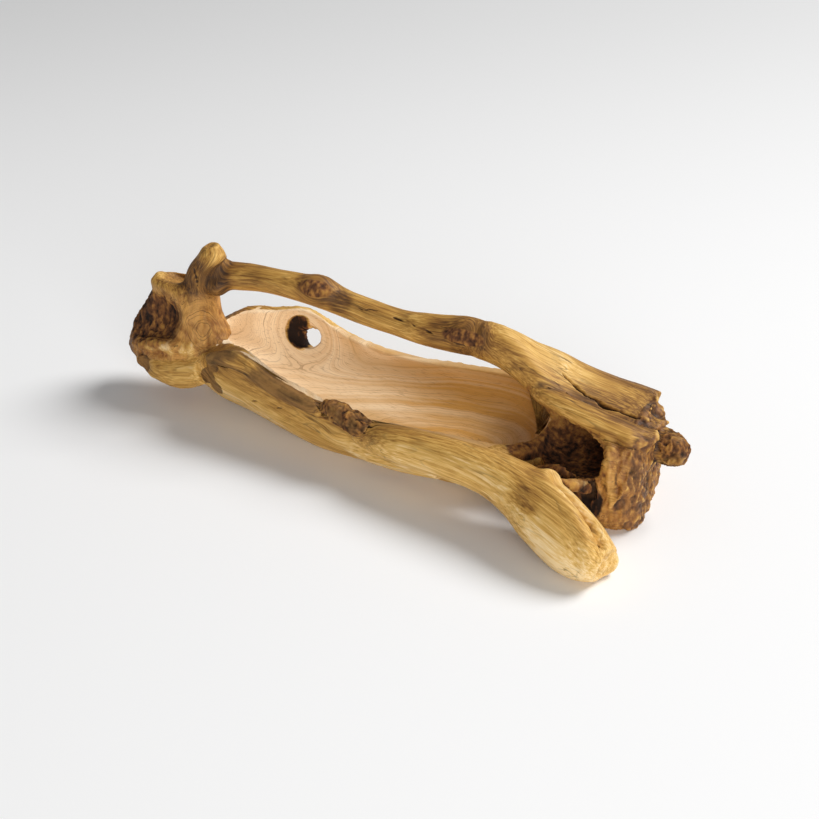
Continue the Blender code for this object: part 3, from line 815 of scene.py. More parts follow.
class Zones:
    """Marks where the skin is carved, rotten, barked, pale, stained, broken or cracked, and where shade and
    light are painted.

    Places and reaches are in millimetres.
    """

    def __init__(self, skin, owner):
        self.skin = skin
        self.owner = owner
        self.points = skin.points
        self.normals = skin.normals()
        self.x, self.y, self.z = skin.points.T / MM
        self.burl = self.of("left_burl")
        self.gnarl = skin.spread(self.of("rim_gnarl"), 4)
        self.nodule = skin.spread(self.of("end_nodule"), 3)
        self.torn_foot = self.by_ridge("foot_torn", 7, 15)
        self.post = 0.6 * self.by_ridge("log_post", 4, 9)
        self.ledge = 0.8 * close_to(self.points, PALE_LEDGE)
        self.scars = np.maximum.reduce([self.in_ball(scar, 0.7, 1.15) for scar in SCARS])
        self.near_wall = 0.62 * self.of("log_shell") * falls(-40, -20, self.y)

    def of(self, *names):
        """1 on the given members."""
        return is_one_of(self.owner, names)

    def by_ridge(self, name, low, high):
        """1 along a ridge, falling to 0 between two distances from it."""
        return falls(low * MM, high * MM, to_line(self.points, RIDGES[name][0], (high + 5) * MM)[0])

    def in_ball(self, ball, low, high):
        """1 in an oval hollow, falling to 0 round its edge."""
        return falls(low, high, to_ball(self.points, ball))

    def soft(self, rounds, *masks):
        """The highest of some masks, spread softly."""
        return self.skin.spread(np.maximum.reduce(masks), rounds)

    def carve(self):
        """The gouged faces, and the charred part of the knot hole, which isn't gouged."""
        inner, outer = KNOT_HOLE_REACH
        charred = falls(inner * MM, outer * MM, to_line(self.points, KNOT_HOLE, 40 * MM)[0])
        self.charred = charred * soft_step(40, 50, self.y) * falls(-172, -154, self.x)
        gouged = carved_zone(self.skin, self.owner, self.normals)
        self.carved = self.skin.spread(gouged, 6) * (1 - self.charred)
        self.skin.mark("carved", self.carved)

    def log_cavity(self):
        """The hollow in the log, its edge behind the lip of the bowl, and the undersides over it, whose dark
        rot colour is partly painted shade.
        """
        x, y, z = self.x, self.y, self.z
        by_lip = self.of("log_shell") * falls(176, 190, x) * soft_step(40, 48, z) * falls(50, 62, y)
        # partly painted shade: faces that look down over the hollow get the dark rot colour
        underside_rot_and_shade = soft_step(0.05, 0.4, -self.normals[:, 2]) * soft_step(136, 146, x) * soft_step(40, 52, z)
        underside_rot_and_shade = self.skin.spread(underside_rot_and_shade * self.of("log_strand", "log_roof", "log_shell"), 2)
        hollow = self.in_ball(LOG_CAVITY, 0.92, 1.16)
        return np.maximum.reduce([hollow, by_lip, close_to(self.points, LIP_ROT), underside_rot_and_shade])

    def burl_pocket(self):
        """The pocket in the burl and the rotten face round it."""
        looking_out = soft_step(0.0, 0.35, -0.8 * self.normals[:, 1] - 0.6 * self.normals[:, 0])
        front = looking_out * soft_step(70, 80, self.z) * falls(113, 124, self.z)
        hollows = [self.in_ball(ball, 0.7, 1.35) for ball in (BURL_POCKET, BURL_END_ROT)]
        reached = falls(-292, -232, self.x) * self.skin.spread(self.burl, 3)
        return np.maximum.reduce([*hollows, front]) * reached

    def rot(self):
        """The rotten places, and how firm the wood in them is, with painted shade: the log's hollow darkens
        towards its bottom, and the undersides over it and the shadow slot are dark.
        """
        x, y, z = self.x, self.y, self.z
        cavity = self.log_cavity()
        self.pocket = self.burl_pocket()
        # painted shadow: the slot between the foot and the log's wall
        shadow_slot = self.in_ball(PAINTED_SHADOW_SLOT, 0.8, 1.2)
        wall = self.skin.spread(self.of("heartwood_ledge"), 4)
        splinter = self.of("torn_splinter")
        half_rotten = [0.8 * self.scars, 0.35 * self.torn_foot, 0.65 * splinter, 0.5 * self.gnarl]
        rotten = [cavity, self.pocket, shadow_slot, self.charred, 0.85 * wall, 0.55 * self.nodule, *half_rotten]
        self.skin.mark("rot", np.maximum.reduce(rotten) * (1 - self.carved))
        # Painted light and shade: in the log's hollow the rot is painted lighter towards the top and the back
        # and darker at the bottom, and the shadow slot is painted black.
        firm_and_shade = soft_step(56, 84, z) * 0.13 + soft_step(8, 30, y) * 0.05 - falls(46, 58, z) * 0.045
        firm_and_shade = firm_and_shade * cavity + (soft_step(-306, -262, x) * 0.06 - 0.03) * self.pocket
        firm_and_shade += 0.06 * self.torn_foot + 0.03 * splinter - 0.03 * self.gnarl - 0.04 * self.nodule
        firm_and_shade -= 0.02 * wall + 0.10 * shadow_slot + 0.16 * self.charred
        self.skin.mark("firm_and_shade", self.skin.spread(firm_and_shade, 3))

    def bark(self):
        gaps = np.sin((self.x + 190) / 17) * soft_step(-196, -180, self.x)
        strip = self.of("rim_bark") * (0.75 - 0.22 * gaps)
        left = self.soft(5, strip, close_to(self.points, OLD_BARK), 0.55 * self.gnarl, 0.5 * self.nodule)
        self.skin.mark("bark", left * (1 - self.carved))

    def bleach_and_bounce_light(self):
        """The pale places: bleached or freshly torn wood, faces of the roof that look up, and the hull's
        lower part, painted lighter as painted light bounced from the floor.
        """
        foot = 0.7 * self.of("front_root") * (0.35 + 0.65 * soft_step(190, 235, self.x))
        roof = 0.6 * self.of("log_roof") * soft_step(85, 110, self.x) * falls(150, 205, self.x)
        roof *= soft_step(0.5, 0.85, self.normals[:, 2])
        torn = 0.5 * self.of("torn_splinter", "burl_flake")
        # painted light: the lower part of the hull is lightened as if lit by light bounced up from the floor
        hull = 0.75 * self.of("carved_bowl", "belly_root") * falls(40, 72, self.z)
        pale = self.soft(10, foot, roof, torn, hull, 0.9 * self.torn_foot)
        self.skin.mark("pale", pale + self.ledge + self.post)

    def stain(self):
        wall = 0.5 * self.of("log_shell")
        strand = 0.6 * self.of("log_strand") * falls(85, 105, self.z)
        roof_end = 0.4 * self.of("log_roof") * soft_step(170, 215, self.x)
        stained = self.soft(10, wall, strand, 0.7 * self.gnarl, close_to(self.points, STAINS), roof_end)
        self.skin.mark("stain", stained)

    def curl(self):
        """The figured grain, and the folds that stand up in it."""
        face = self.burl * falls(104, 146, self.z)
        figure = self.soft(12, face, 0.25 * self.of("burl_flake"), self.near_wall)
        self.skin.mark("figure", figure * (1 - 0.7 * self.ledge) * (1 - 0.5 * self.post))
        self.skin.mark("curled", self.soft(6, self.of("rim_gnarl", "end_nodule")) + 0.35 * self.scars)
        low_face = 0.5 * self.burl * falls(110, 126, self.z)
        self.skin.mark("curtain", self.soft(4, self.pocket, low_face, 1.5 * self.near_wall))

    def tear(self):
        """The broken ends, which are torn back towards the middle."""
        x = self.x
        log_end = self.of("log_shell", "log_strand", "end_nodule") * soft_step(248, 262, x)
        log_end *= soft_step(0.1, 0.7, self.normals[:, 0])
        roof_end = 2.0 * self.of("log_roof") * soft_step(246, 262, x)
        foot_end = 0.4 * self.of("front_root") * soft_step(276, 285, x)
        burl_end = 0.8 * self.burl * falls(-326, -300, x)
        crust = 0.9 * self.of("burl_flake") * falls(-300, -280, x)
        ragged = self.soft(4, log_end, roof_end, foot_end, burl_end, crust, 0.3 * self.torn_foot)
        self.skin.mark("ragged", ragged)
        self.skin.mark("tear", ragged * np.sign(x) * (1 - self.of("end_nodule")))

    def crack(self):
        """The drying cracks, and the dark gaps between members that have split apart."""
        inside, depth = crack_shares(self.skin)
        split = near_seams(self.skin, self.owner, 5 * MM, SPLITS)
        split *= np.where(self.x < 0, falls(-320, -292, self.x), 1.0)
        self.skin.mark("crack", np.maximum(inside, 0.9 * split))
        self.skin.mark("crack_depth", np.maximum(depth, 4.0 * MM * soft_step(0.1, 1.0, split)))

    def mark_all(self):
        self.skin.mark("ring", growth_rings(self.skin))
        self.carve()
        self.rot()
        self.bark()
        self.bleach_and_bounce_light()
        self.stain()
        self.curl()
        self.tear()
        self.crack()


def weathering_tree():
    """Geometry Nodes: wears the skin along its grain and eats into its rotten, barked and broken places."""
    tree = bpy.data.node_groups.new("weathering", "GeometryNodeTree")
    graph = Graph(tree)
    tree.interface.new_socket("Geometry", in_out="INPUT", socket_type="NodeSocketGeometry")
    for name in ("Lumps", "Flutes", "Fibres", "Rot", "Bark", "Folds", "Ragged ends", "Cracks", "Seed"):
        tree.interface.new_socket(name, in_out="INPUT", socket_type="NodeSocketFloat")
    tree.interface.new_socket("Wood", in_out="INPUT", socket_type="NodeSocketMaterial")
    tree.interface.new_socket("Geometry", in_out="OUTPUT", socket_type="NodeSocketGeometry")
    entry = tree.nodes.new("NodeGroupInput")
    given = {socket.name: Value(graph, socket) for socket in entry.outputs if socket.name}

    def stored(name, data_type="FLOAT"):
        return graph.add("GeometryNodeInputNamedAttribute", {"Name": name}, data_type=data_type)

    place = graph.add("GeometryNodeInputPosition")
    shift = graph.add("ShaderNodeCombineXYZ", {0: given["Seed"], 1: given["Seed"], 2: given["Seed"]})
    place = graph.vector("ADD", place, shift)
    grain = graph.vector("ADD", stored("grain", "FLOAT_VECTOR"), shift)
    bare = 1.0 - stored("carved")
    lumps = (graph.noise(place, 20.0, 1.0) - 0.5) * given["Lumps"]
    flutes = (graph.noise(grain, (5.0, 60.0, 60.0), 1.0) - 0.5) * given["Flutes"]
    fibres = (graph.noise(grain, (12.0, 260.0, 260.0), 2.0) - 0.5) * given["Fibres"]
    crumbs = graph.noise(place, 60.0, 4.0) - 0.55
    curtains = graph.noise(place, (75.0, 75.0, 20.0), 3.0).ridge() - 0.7
    rot = (crumbs * stored("rot") + curtains * stored("curtain")) * given["Rot"]
    furrows = graph.noise(grain, (30.0, 150.0, 150.0), 3.0) - 0.5
    bark = furrows * given["Bark"] * stored("bark")
    folds = graph.noise(graph.warped(place, 60.0, (0.02, 0.02, 0.02)), 70.0, 2.0).ridge() - 0.75
    curled = folds * given["Folds"] * stored("curled")
    torn = (graph.noise(place, 38.0, 2.5) - 0.5) * given["Ragged ends"] * stored("ragged")
    back = (graph.noise(place, (4.0, 70.0, 70.0), 3.0) - 0.45) * given["Ragged ends"] * stored("tear")
    opened = stored("crack_depth") * given["Cracks"]
    height = (lumps + flutes + fibres) * bare + rot + bark + curled + torn - opened
    normal = graph.add("GeometryNodeInputNormal")
    offset = graph.add("ShaderNodeVectorMath", {0: normal, "Scale": height}, operation="SCALE")
    offset = graph.vector("SUBTRACT", offset, graph.add("ShaderNodeCombineXYZ", {0: back}))
    moved = graph.add("GeometryNodeSetPosition", {"Geometry": given["Geometry"], "Offset": offset})
    whole = graph.add("GeometryNodeRealizeInstances", {"Geometry": moved})
    wood = graph.add("GeometryNodeSetMaterial", {"Geometry": whole, "Material": given["Wood"]})
    leave = tree.nodes.new("NodeGroupOutput")
    graph.put(wood, leave.inputs[0])
    return tree


def weather(lump, settings, wood):
    """Runs the weathering tree on the skin and keeps its result as a plain mesh."""
    worn = lump.modifiers.new("weathering", "NODES")
    worn.node_group = weathering_tree()
    values = {item.name: getattr(settings, item.identifier) for item in settings.bl_rna.properties}
    values["Wood"] = wood
    for item in worn.node_group.interface.items_tree:
        if item.in_out == "INPUT" and item.name in values:
            worn[item.identifier] = values[item.name]
    before = lump.data
    lump.data = evaluated_mesh(lump)
    lump.modifiers.clear()
    bpy.data.meshes.remove(before)


def mark_wear_and_painted_shade(skin):
    """How far each point stands out of the wood around it, over a short and a long reach. The short reach,
    edge, lightens worn edges and paints highlights on the rot and the crust; the long reach, hollow, paints
    shade into the recesses.
    """
    normals = skin.normals()
    for name, rounds, depth in (("edge", 5, 0.5 * MM), ("hollow", 40, 2.6 * MM)):
        stand = np.einsum("ij,ij->i", skin.points - skin.spread(skin.points, rounds), normals)
        skin.mark(name, np.clip(skin.spread(stand, 1) / depth, -1, 1))


def shape_root(settings, wood):
    """Makes the finished skin of the whole root, with the member that owns each point."""
    lump = fused_mesh(settings)
    skin = Skin(lump.data)
    samples = member_samples()
    owner = owners(skin, samples)
    blend_limbs(skin, owner, settings)
    skin.mark("grain", grain_coordinates(skin, samples, owner, near_seams(skin, owner, 24 * MM)))
    skin.normals()
    refine(lump)
    skin = Skin(lump.data)
    added = np.arange(len(skin.points)) >= len(owner)
    owner = adopt(skin, np.resize(owner, len(skin.points)), added)
    skin.polish(np.full(len(skin.points), 1.0), 4)
    sculpt(skin, owner)
    Zones(skin, owner).mark_all()
    skin.mesh.attributes.new("owner", "INT", "POINT").data.foreach_set("value", owner.astype(np.int32))
    weather(lump, settings, wood)
    skin = Skin(lump.data)
    carved = read(lump.data.attributes["carved"].data, "value", 1)
    skin.polish(skin.spread(4 * carved * (1 - carved), 4), 10)
    skin.points[:, 2] = np.maximum(skin.points[:, 2], 0.0)
    mark_wear_and_painted_shade(skin)
    skin.mark("skin_normal", skin.normals())
    return lump


def carved_layer(graph, place, grain, colours):
    """Smooth carved wood: pale, with late wood lines where the gouge cuts through the rings, and painted
    shade that deepens its colour towards the hollow's right end, under the roof.
    """
    waver = (graph.noise(place, (14.0, 26.0, 26.0), 2.0) - 0.5) * 0.010
    waver = waver + (graph.noise(place, 150.0, 2.0) - 0.5) * 0.0007
    ring = graph.mark("ring") + waver
    gate = graph.noise(place, (10.0, 36.0, 36.0), 2.0).step(0.38, 0.60)
    late = graph.lines(ring / LATE_SPACING) * gate
    hair = graph.lines(ring / HAIR_SPACING)
    broad = graph.noise(grain, (5.0, 26.0, 26.0), 3.0)
    bands = graph.noise(graph.add("ShaderNodeCombineXYZ", {0: ring * 120.0}), 1.0, 3.0)
    pores = graph.noise(grain, (70.0, 1100.0, 1100.0), 2.0)
    dark_band = graph.noise(graph.add("ShaderNodeCombineXYZ", {0: ring * 40.0, 1: broad}), 1.0, 1.0)
    # painted shade: the carved colour deepens towards the right end of the hollow, where the roof shades it
    along = graph.add("ShaderNodeSeparateXYZ", {0: place}).step(-0.23, 0.06)
    tone = broad.step(0.30, 0.74) * 0.35 + bands.step(0.35, 0.65) * 0.45 + along * 0.85 - 0.38
    colour = graph.mix(tone, colours.carved_pale, colours.carved_deep)
    colour = graph.mix(dark_band.step(0.54, 0.72) * 0.35, colour, colours.gold)
    colour = graph.mix(late * 0.58, colour, colours.carved_line)
    colour = graph.mix(hair * 0.48, colour, colours.carved_line)
    colour = graph.mix(pores.step(0.54, 0.76) * 0.50, colour, colours.carved_line)
    height = pores * 0.10 - late * 0.15
    return colour, height


def weathered_layer(graph, place, grain, colours):
    """Bare root wood: gold to brown along the grain, with contour lines, dark checks and stains. Worn edges
    are lighter; hollows and faces that look up get painted shade, and the pale mark holds painted light on
    the hull's lower part.
    """
    pale = graph.mark("pale")
    stain = graph.mark("stain")
    grain = graph.warped(grain, (9.0, 40.0, 40.0), (0.0, 0.006, 0.006))
    broad = graph.noise(grain, (4.0, 22.0, 22.0), 2.0)
    streak = graph.noise(grain, (7.0, 250.0, 250.0), 3.0)
    fibre = graph.noise(grain, (28.0, 700.0, 700.0), 2.0)
    contour = graph.noise(grain, (3.5, 24.0, 24.0), 1.0) * 15.0
    contour = contour + graph.noise(grain, (18.0, 170.0, 170.0), 2.0) * 0.8
    gate = graph.noise(place, 30.0, 2.0).step(0.34, 0.62)
    lines = graph.lines(contour) * gate * (1.0 - pale * 0.6)
    check = graph.noise(grain, (4.0, 95.0, 95.0), 1.0).ridge().step(0.965, 0.996)
    check = check * graph.noise(place, 22.0, 2.0).step(0.52, 0.66)
    # painted shade: faces that look up are painted a little darker
    painted_top_shade = graph.add("ShaderNodeSeparateXYZ", {0: graph.add("ShaderNodeNewGeometry", output=1)}, 2)
    tone = 0.46 + (broad - 0.5) * 0.90 + (streak - 0.5) * 0.45 + (fibre - 0.5) * 0.70
    # edge lightens worn edges; hollow is painted shade, darker in the recesses and lighter where the wood
    # stands out
    tone = tone + graph.mark("edge") * 0.10 + graph.mark("hollow") * 0.13
    tone = tone + pale * 0.27 - painted_top_shade * 0.06 - stain * 0.22
    colour = graph.ramp(
        tone,
        (0.05, colours.umber),
        (0.28, colours.brown),
        (0.50, colours.gold),
        (0.70, colours.straw),
        (0.92, colours.bleached),
    )
    blotch = graph.noise(place, 24.0, 4.0) + stain * 0.16 - pale * 0.06
    fleck = graph.noise(grain, (20.0, 240.0, 240.0), 2.0).step(0.38, 0.62)
    colour = graph.mix(blotch.step(0.58, 0.76) * fleck * 0.55, colour, colours.umber)
    colour = graph.mix(lines * 0.55, colour, colours.umber)
    colour = graph.mix(check * 0.6, colour, colours.umber)
    height = streak * 0.4 + fibre * 0.35 - check * 0.9 - lines * 0.2
    return colour, height


def burl_layer(graph, place, colours):
    """Curled grain: fine lines that turn every way round the eyes of the burl."""
    place = graph.warped(place, 34.0, (0.022, 0.022, 0.022))
    curl = graph.noise(place, (190.0, 190.0, 110.0), 3.0)
    cloud = graph.noise(place, 30.0, 2.0)
    from_eye = graph.add("ShaderNodeVectorMath", {0: place, 1: BURL_EYE}, 1, operation="DISTANCE")
    eye = 1.0 - from_eye.step(0.022, 0.042)
    eyes = graph.lines(cloud * 30.0 * (1.0 - eye) + from_eye / EYE_SPACING * eye)
    tone = (curl - 0.5) * 2.6 + (cloud - 0.5) * 1.8 + 0.54
    colour = graph.mix(tone, colours.burl_deep, colours.burl_pale)
    colour = graph.mix(eyes * 0.9, colour, colours.umber)
    return colour, curl * 1.2 - eyes * 0.6


def rotten_layer(graph, place, colours):
    """Crumbling heartwood: black at the bottom, with tan wood that shows where it is firm. Its recesses are
    darkened as painted shade and its knobs lightened as painted highlights.
    """
    clot = graph.noise(place, 42.0, 5.0) * 0.3 + graph.noise(place, (190.0, 190.0, 90.0), 5.0) * 0.5 + 0.10
    # painted shade and highlights: hollow darkens the rot's recesses, edge lightens its knobs
    firm_and_shade = clot + graph.mark("firm_and_shade") + graph.mark("hollow") * 0.09 + graph.mark("edge") * 0.07
    colour = graph.ramp(
        firm_and_shade,
        (0.38, colours.rot_black),
        (0.49, colours.rot_red),
        (0.58, colours.rot_tan),
        (0.70, colours.gold),
    )
    return colour, clot * 2.6


def bark_layer(graph, place, grain, colours):
    """Old bark: brown, furrowed along the grain."""
    furrow = graph.noise(grain, (30.0, 150.0, 150.0), 3.0)
    streak = graph.noise(grain, (14.0, 420.0, 420.0), 3.0)
    grit = graph.noise(place, 300.0, 3.0)
    tone = (furrow - 0.5) * 2.6 + (streak - 0.5) * 1.7 + (grit - 0.5) * 0.8 + 0.55 + graph.mark("edge") * 0.3
    colour = graph.mix(tone, colours.bark_dark, colours.bark_grey)
    return colour, furrow * 1.2 + streak * 0.5 + grit * 0.5


def root_wood(name, colours):
    """The whole root's finish. Carved faces, bare wood, burl, rot and bark lie where the skin says."""
    wood = bpy.data.materials.new(name)
    wood.use_nodes = True
    tree = wood.node_tree
    graph = Graph(tree)
    shader = tree.nodes["Principled BSDF"]
    place = graph.add("ShaderNodeTexCoord", output=3)
    grain = graph.mark("grain", 1)
    frayed = (graph.noise(place, 90.0, 4.0) - 0.5) * 0.9
    carved = graph.mark("carved").step(0.40, 0.60)
    rot = graph.mark("rot")
    rot = (rot + frayed * rot.ridge()).step(0.30, 0.70)
    shreds = (graph.noise(grain, (16.0, 90.0, 90.0), 3.0) - 0.5) * 1.3
    bark = graph.mark("bark")
    bark = (bark + (frayed * 0.4 + shreds) * bark.step(0.02, 0.3)).step(0.42, 0.62)
    ragged = (graph.mark("ragged") + frayed * 0.7).step(0.45, 0.75)
    figure = (graph.mark("figure") + frayed * 0.9).step(0.25, 0.75)
    colour, height = weathered_layer(graph, place, grain, colours)
    carved_colour, carved_height = carved_layer(graph, place, grain, colours)
    burl_colour, burl_height = burl_layer(graph, place, colours)
    rot_colour, rot_height = rotten_layer(graph, place, colours)
    bark_colour, bark_height = bark_layer(graph, place, grain, colours)
    # painted highlights: the knobs of the broken, crusty ends are painted straw over the rot colour
    crust = graph.mix(graph.mark("edge").step(0.25, 0.95) * 0.7, rot_colour, colours.straw)
    colour = graph.mix(figure * 0.75, colour, burl_colour)
    colour = graph.mix(ragged * 0.85, colour, crust)
    colour = graph.mix(bark * 0.9, colour, bark_colour)
    colour = graph.mix(rot, colour, rot_colour)
    colour = graph.mix(carved, colour, carved_colour)
    colour = graph.mix((graph.mark("crack") + frayed * 0.25).step(0.42, 0.66) * 0.92, colour, colours.umber)
    height = height + burl_height * figure + rot_height * rot + bark_height * bark
    height = height + (carved_height - height) * carved
    bump = graph.add("ShaderNodeBump", {"Strength": 0.6, "Distance": 0.6 * MM, "Height": height})
    roughness = 0.58 - carved * 0.10 + rot * 0.28 + bark * 0.25
    graph.put(colour, shader.inputs["Base Color"])
    graph.put(roughness, shader.inputs["Roughness"])
    graph.put(bump, shader.inputs["Normal"])
    shader.inputs["Specular IOR Level"].default_value = 0.3
    return wood


def open_runs(shape):
    """Each closed run of open edges, as its points in the order of the faces beside it."""
    ahead = {}
    for edge in shape.edges:
        if edge.is_boundary:
            corner = edge.link_loops[0]
            ahead[corner.vert] = corner.link_loop_next.vert
    while ahead:
        start, vertex = ahead.popitem()
        run = [start]
        while vertex is not start:
            run.append(vertex)
            vertex = ahead.pop(vertex)
        yield run


def fill(shape, run):
    """Draws a skin over an open run, in towards its middle."""
    middle = sum((vertex.co for vertex in run), Vector()) / len(run)
    inner = [shape.verts.new(vertex.co.lerp(middle, 0.5), vertex) for vertex in run]
    centre = shape.verts.new(middle, run[0])
    for i, vertex in enumerate(run):
        j = (i + 1) % len(run)
        shape.faces.new((run[j], vertex, inner[i]))
        shape.faces.new((run[j], inner[i], inner[j]))
        shape.faces.new((inner[j], inner[i], centre))


def close(mesh):
    """Closes a member where it was parted from the rest."""
    shape = bmesh.new()
    shape.from_mesh(mesh)
    for vertex in shape.verts[:]:
        if sum(edge.is_boundary for edge in vertex.link_edges) > 2:
            bmesh.utils.vert_separate(vertex, [])
    for run in list(open_runs(shape)):
        fill(shape, run)
    shape.to_mesh(mesh)
    shape.free()


def part_of(lump, name, wood):
    """One member's share of the skin, closed, with the shading of the whole skin."""
    skin = lump.data
    faces = read(skin.loops, "vertex_index", 1, np.int32).reshape(-1, 3)
    votes = read(skin.attributes["owner"].data, "value", 1, np.int32)[faces]
    holder = np.where(votes[:, 1] == votes[:, 2], votes[:, 1], votes[:, 0])
    faces = faces[holder == MEMBERS.index(name)]
    used, index = np.unique(faces, return_inverse=True)
    mesh = bpy.data.meshes.new(name)
    mesh.from_pydata(read(skin.vertices, "co", 3)[used], [], index.reshape(-1, 3))
    for key in (*MARKS, "skin_normal"):
        source = skin.attributes[key]
        field, width = ("vector", 3) if source.data_type == "FLOAT_VECTOR" else ("value", 1)
        made = mesh.attributes.new(key, source.data_type, "POINT")
        made.data.foreach_set(field, read(source.data, field, width)[used].ravel())
    close(mesh)
    normals = read(mesh.attributes["skin_normal"].data, "vector", 3)
    normals = normals[read(mesh.loops, "vertex_index", 1, np.int32)]
    normals[faces.size:] = 0.0
    mesh.attributes.remove(mesh.attributes["skin_normal"])
    mesh.shade_smooth()
    mesh.normals_split_custom_set(normals)
    mesh.materials.append(wood)
    piece = bpy.data.objects.new(f"{name}_wood", mesh)
    bpy.context.scene.collection.objects.link(piece)
    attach(piece, "root")
    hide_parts(name)
    return piece


class MemberOperator:
    """Parts a group of members from the finished skin."""

    bl_options = {"REGISTER", "UNDO"}
    members = ()

    def execute(self, context):
        lump = bpy.data.objects["root_skin"]
        for name in self.members:
            part_of(lump, name, bpy.data.materials["root_wood"])
        return {"FINISHED"}


class ROOTBOWL_OT_shape_root(bpy.types.Operator):
    """Fuses the members into one skin and weathers it"""

    bl_idname = "rootbowl.shape_root"
    bl_label = "Shape the root"

    def execute(self, context):
        scene = context.scene
        shape_root(scene.rootbowl_skin, root_wood("root_wood", scene.rootbowl_colours))
        return {"FINISHED"}


class ROOTBOWL_OT_bowl(MemberOperator, bpy.types.Operator):
    """Makes the carved bowl"""

    bl_idname = "rootbowl.bowl"
    bl_label = "Carved bowl"
    members = ("carved_bowl",)


class ROOTBOWL_OT_handle(MemberOperator, bpy.types.Operator):
    """Makes the handle limb"""

    bl_idname = "rootbowl.handle"
    bl_label = "Handle"
    members = ("handle_limb",)


class ROOTBOWL_OT_burl(MemberOperator, bpy.types.Operator):
    """Makes the burl with its stub and its split slab"""

    bl_idname = "rootbowl.burl"
    bl_label = "Burl"
    members = ("left_burl", "branch_stub", "burl_flake")


class ROOTBOWL_OT_log(MemberOperator, bpy.types.Operator):
    """Makes the hollow log with its roof, strand, ledge and nodule"""

    bl_idname = "rootbowl.log"
    bl_label = "Hollow log"
    members = ("log_shell", "log_roof", "log_strand", "heartwood_ledge", "end_nodule")


class ROOTBOWL_OT_front_root(MemberOperator, bpy.types.Operator):
    """Makes the front root with its foot, its lower strand and its splinter"""

    bl_idname = "rootbowl.front_root"
    bl_label = "Front root"
    members = ("front_root", "belly_root", "torn_splinter")


class ROOTBOWL_OT_rim(MemberOperator, bpy.types.Operator):
    """Makes the bark and the gnarl on the front rim"""

    bl_idname = "rootbowl.rim"
    bl_label = "Rim bark and gnarl"
    members = ("rim_bark", "rim_gnarl")


def aim(thing, place, at):
    """Puts a lamp or a camera at a place, looking at a point."""
    thing.location = place
    thing.rotation_euler = (Vector(at) - Vector(place)).to_track_quat("-Z", "Y").to_euler()


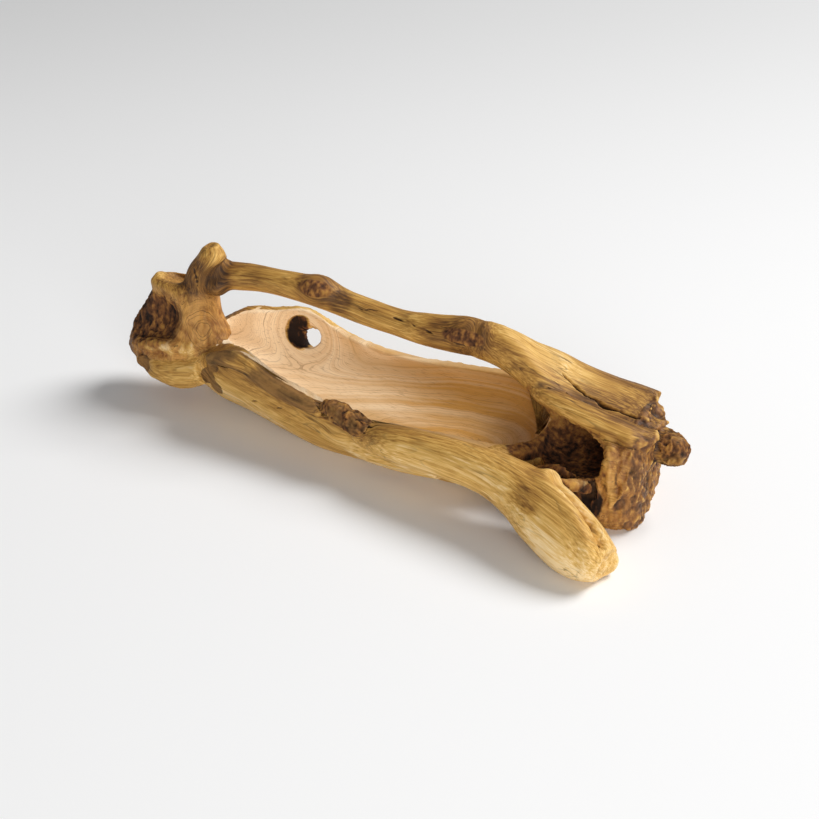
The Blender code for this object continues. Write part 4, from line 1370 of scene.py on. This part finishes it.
class ROOTBOWL_OT_stage(bpy.types.Operator):
    """Makes the floor, the light and the camera"""

    bl_idname = "rootbowl.stage"
    bl_label = "Stage"

    def execute(self, context):
        scene = context.scene
        stage = scene.rootbowl_stage
        scene.view_settings.view_transform = "Standard"

        mesh = bpy.data.meshes.new("floor")
        shape = bmesh.new()
        bmesh.ops.create_grid(shape, x_segments=1, y_segments=1, size=8.0)
        shape.to_mesh(mesh)
        shape.free()
        floor = bpy.data.objects.new("floor", mesh)
        scene.collection.objects.link(floor)
        paint = bpy.data.materials.new("floor_paint")
        paint.use_nodes = True
        shader = paint.node_tree.nodes["Principled BSDF"]
        graph = Graph(paint.node_tree)
        place = graph.add("ShaderNodeTexCoord", output=3)
        # painted shade: the floor is painted darker towards the back, standing in for the lamps' light
        # falling off
        behind = (-math.sin(stage.turn), math.cos(stage.turn), 0.0)
        depth = graph.add("ShaderNodeVectorMath", {0: place, 1: behind}, 1, operation="DOT_PRODUCT")
        graph.put(graph.mix(depth.step(0.1, 1.9), stage.floor, stage.far_floor_shade), shader.inputs["Base Color"])
        shader.inputs["Roughness"].default_value = 0.9
        shader.inputs["Specular IOR Level"].default_value = 0.0
        mesh.materials.append(paint)
        floor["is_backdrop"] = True

        sky = bpy.data.worlds.new("sky")
        sky.use_nodes = True
        sky.node_tree.nodes["Background"].inputs["Strength"].default_value = stage.sky
        sky.node_tree.nodes["Background"].inputs["Color"].default_value = (1, 1, 1, 1)
        scene.world = sky

        for name, watts, width, height, place in (
            ("window", stage.key, 3.6, 3.6, (2.9, 3.3, 5.0)),
            ("fill", stage.fill, 3.0, 2.0, (2.6, -2.9, 1.1)),
        ):
            lamp = bpy.data.lights.new(name, "AREA")
            lamp.shape = "ELLIPSE"
            lamp.size = width
            lamp.size_y = height
            lamp.energy = watts
            light = bpy.data.objects.new(name, lamp)
            scene.collection.objects.link(light)
            aim(light, place, (0, 0, 0.05))

        view = bpy.data.cameras.new("camera")
        view.sensor_width = 36.0
        view.lens = view.sensor_width / 2 * stage.distance / stage.half_view
        camera = bpy.data.objects.new("camera", view)
        scene.collection.objects.link(camera)
        level = math.cos(stage.rise)
        away = Vector((math.sin(stage.turn) * level, -math.cos(stage.turn) * level, math.sin(stage.rise)))
        at = Vector((0, 0, stage.aim_height))
        aim(camera, at + away * stage.distance, at)
        scene.camera = camera
        return {"FINISHED"}


class ROOTBOWL_PT_panel(bpy.types.Panel):
    """Lists the steps that make the bowl"""

    bl_idname = "ROOTBOWL_PT_panel"
    bl_label = "Carved root bowl"
    bl_space_type = "VIEW_3D"
    bl_region_type = "UI"
    bl_category = "Root bowl"

    def draw(self, context):
        for operator in STEPS:
            self.layout.operator(operator.bl_idname)
        for group in SETTINGS:
            settings = getattr(context.scene, group)
            for name in settings.__annotations__:
                self.layout.prop(settings, name)


STEPS = (
    ROOTBOWL_OT_shape_root,
    ROOTBOWL_OT_bowl,
    ROOTBOWL_OT_handle,
    ROOTBOWL_OT_burl,
    ROOTBOWL_OT_log,
    ROOTBOWL_OT_front_root,
    ROOTBOWL_OT_rim,
    ROOTBOWL_OT_stage,
)
SETTINGS = {"rootbowl_skin": SkinSettings, "rootbowl_colours": WoodColours, "rootbowl_stage": StageSettings}


def register():
    for settings in SETTINGS.values():
        bpy.utils.register_class(settings)
    for operator in STEPS:
        bpy.utils.register_class(operator)
    bpy.utils.register_class(ROOTBOWL_PT_panel)
    for name, settings in SETTINGS.items():
        setattr(bpy.types.Scene, name, bpy.props.PointerProperty(type=settings))


def unregister():
    for name in SETTINGS:
        delattr(bpy.types.Scene, name)
    for made in (ROOTBOWL_PT_panel, *STEPS, *SETTINGS.values()):
        bpy.utils.unregister_class(made)


def main():
    register()
    for operator in STEPS:
        group, name = operator.bl_idname.split(".")
        getattr(getattr(bpy.ops, group), name)()
    bpy.data.objects.remove(bpy.data.objects["root_skin"])
    boxes = {"cad": CAD_BOX, "visual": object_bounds()}
    {name: [list(corner) for corner in box] for name, box in boxes.items()}


if __name__ == "__main__":
    main()
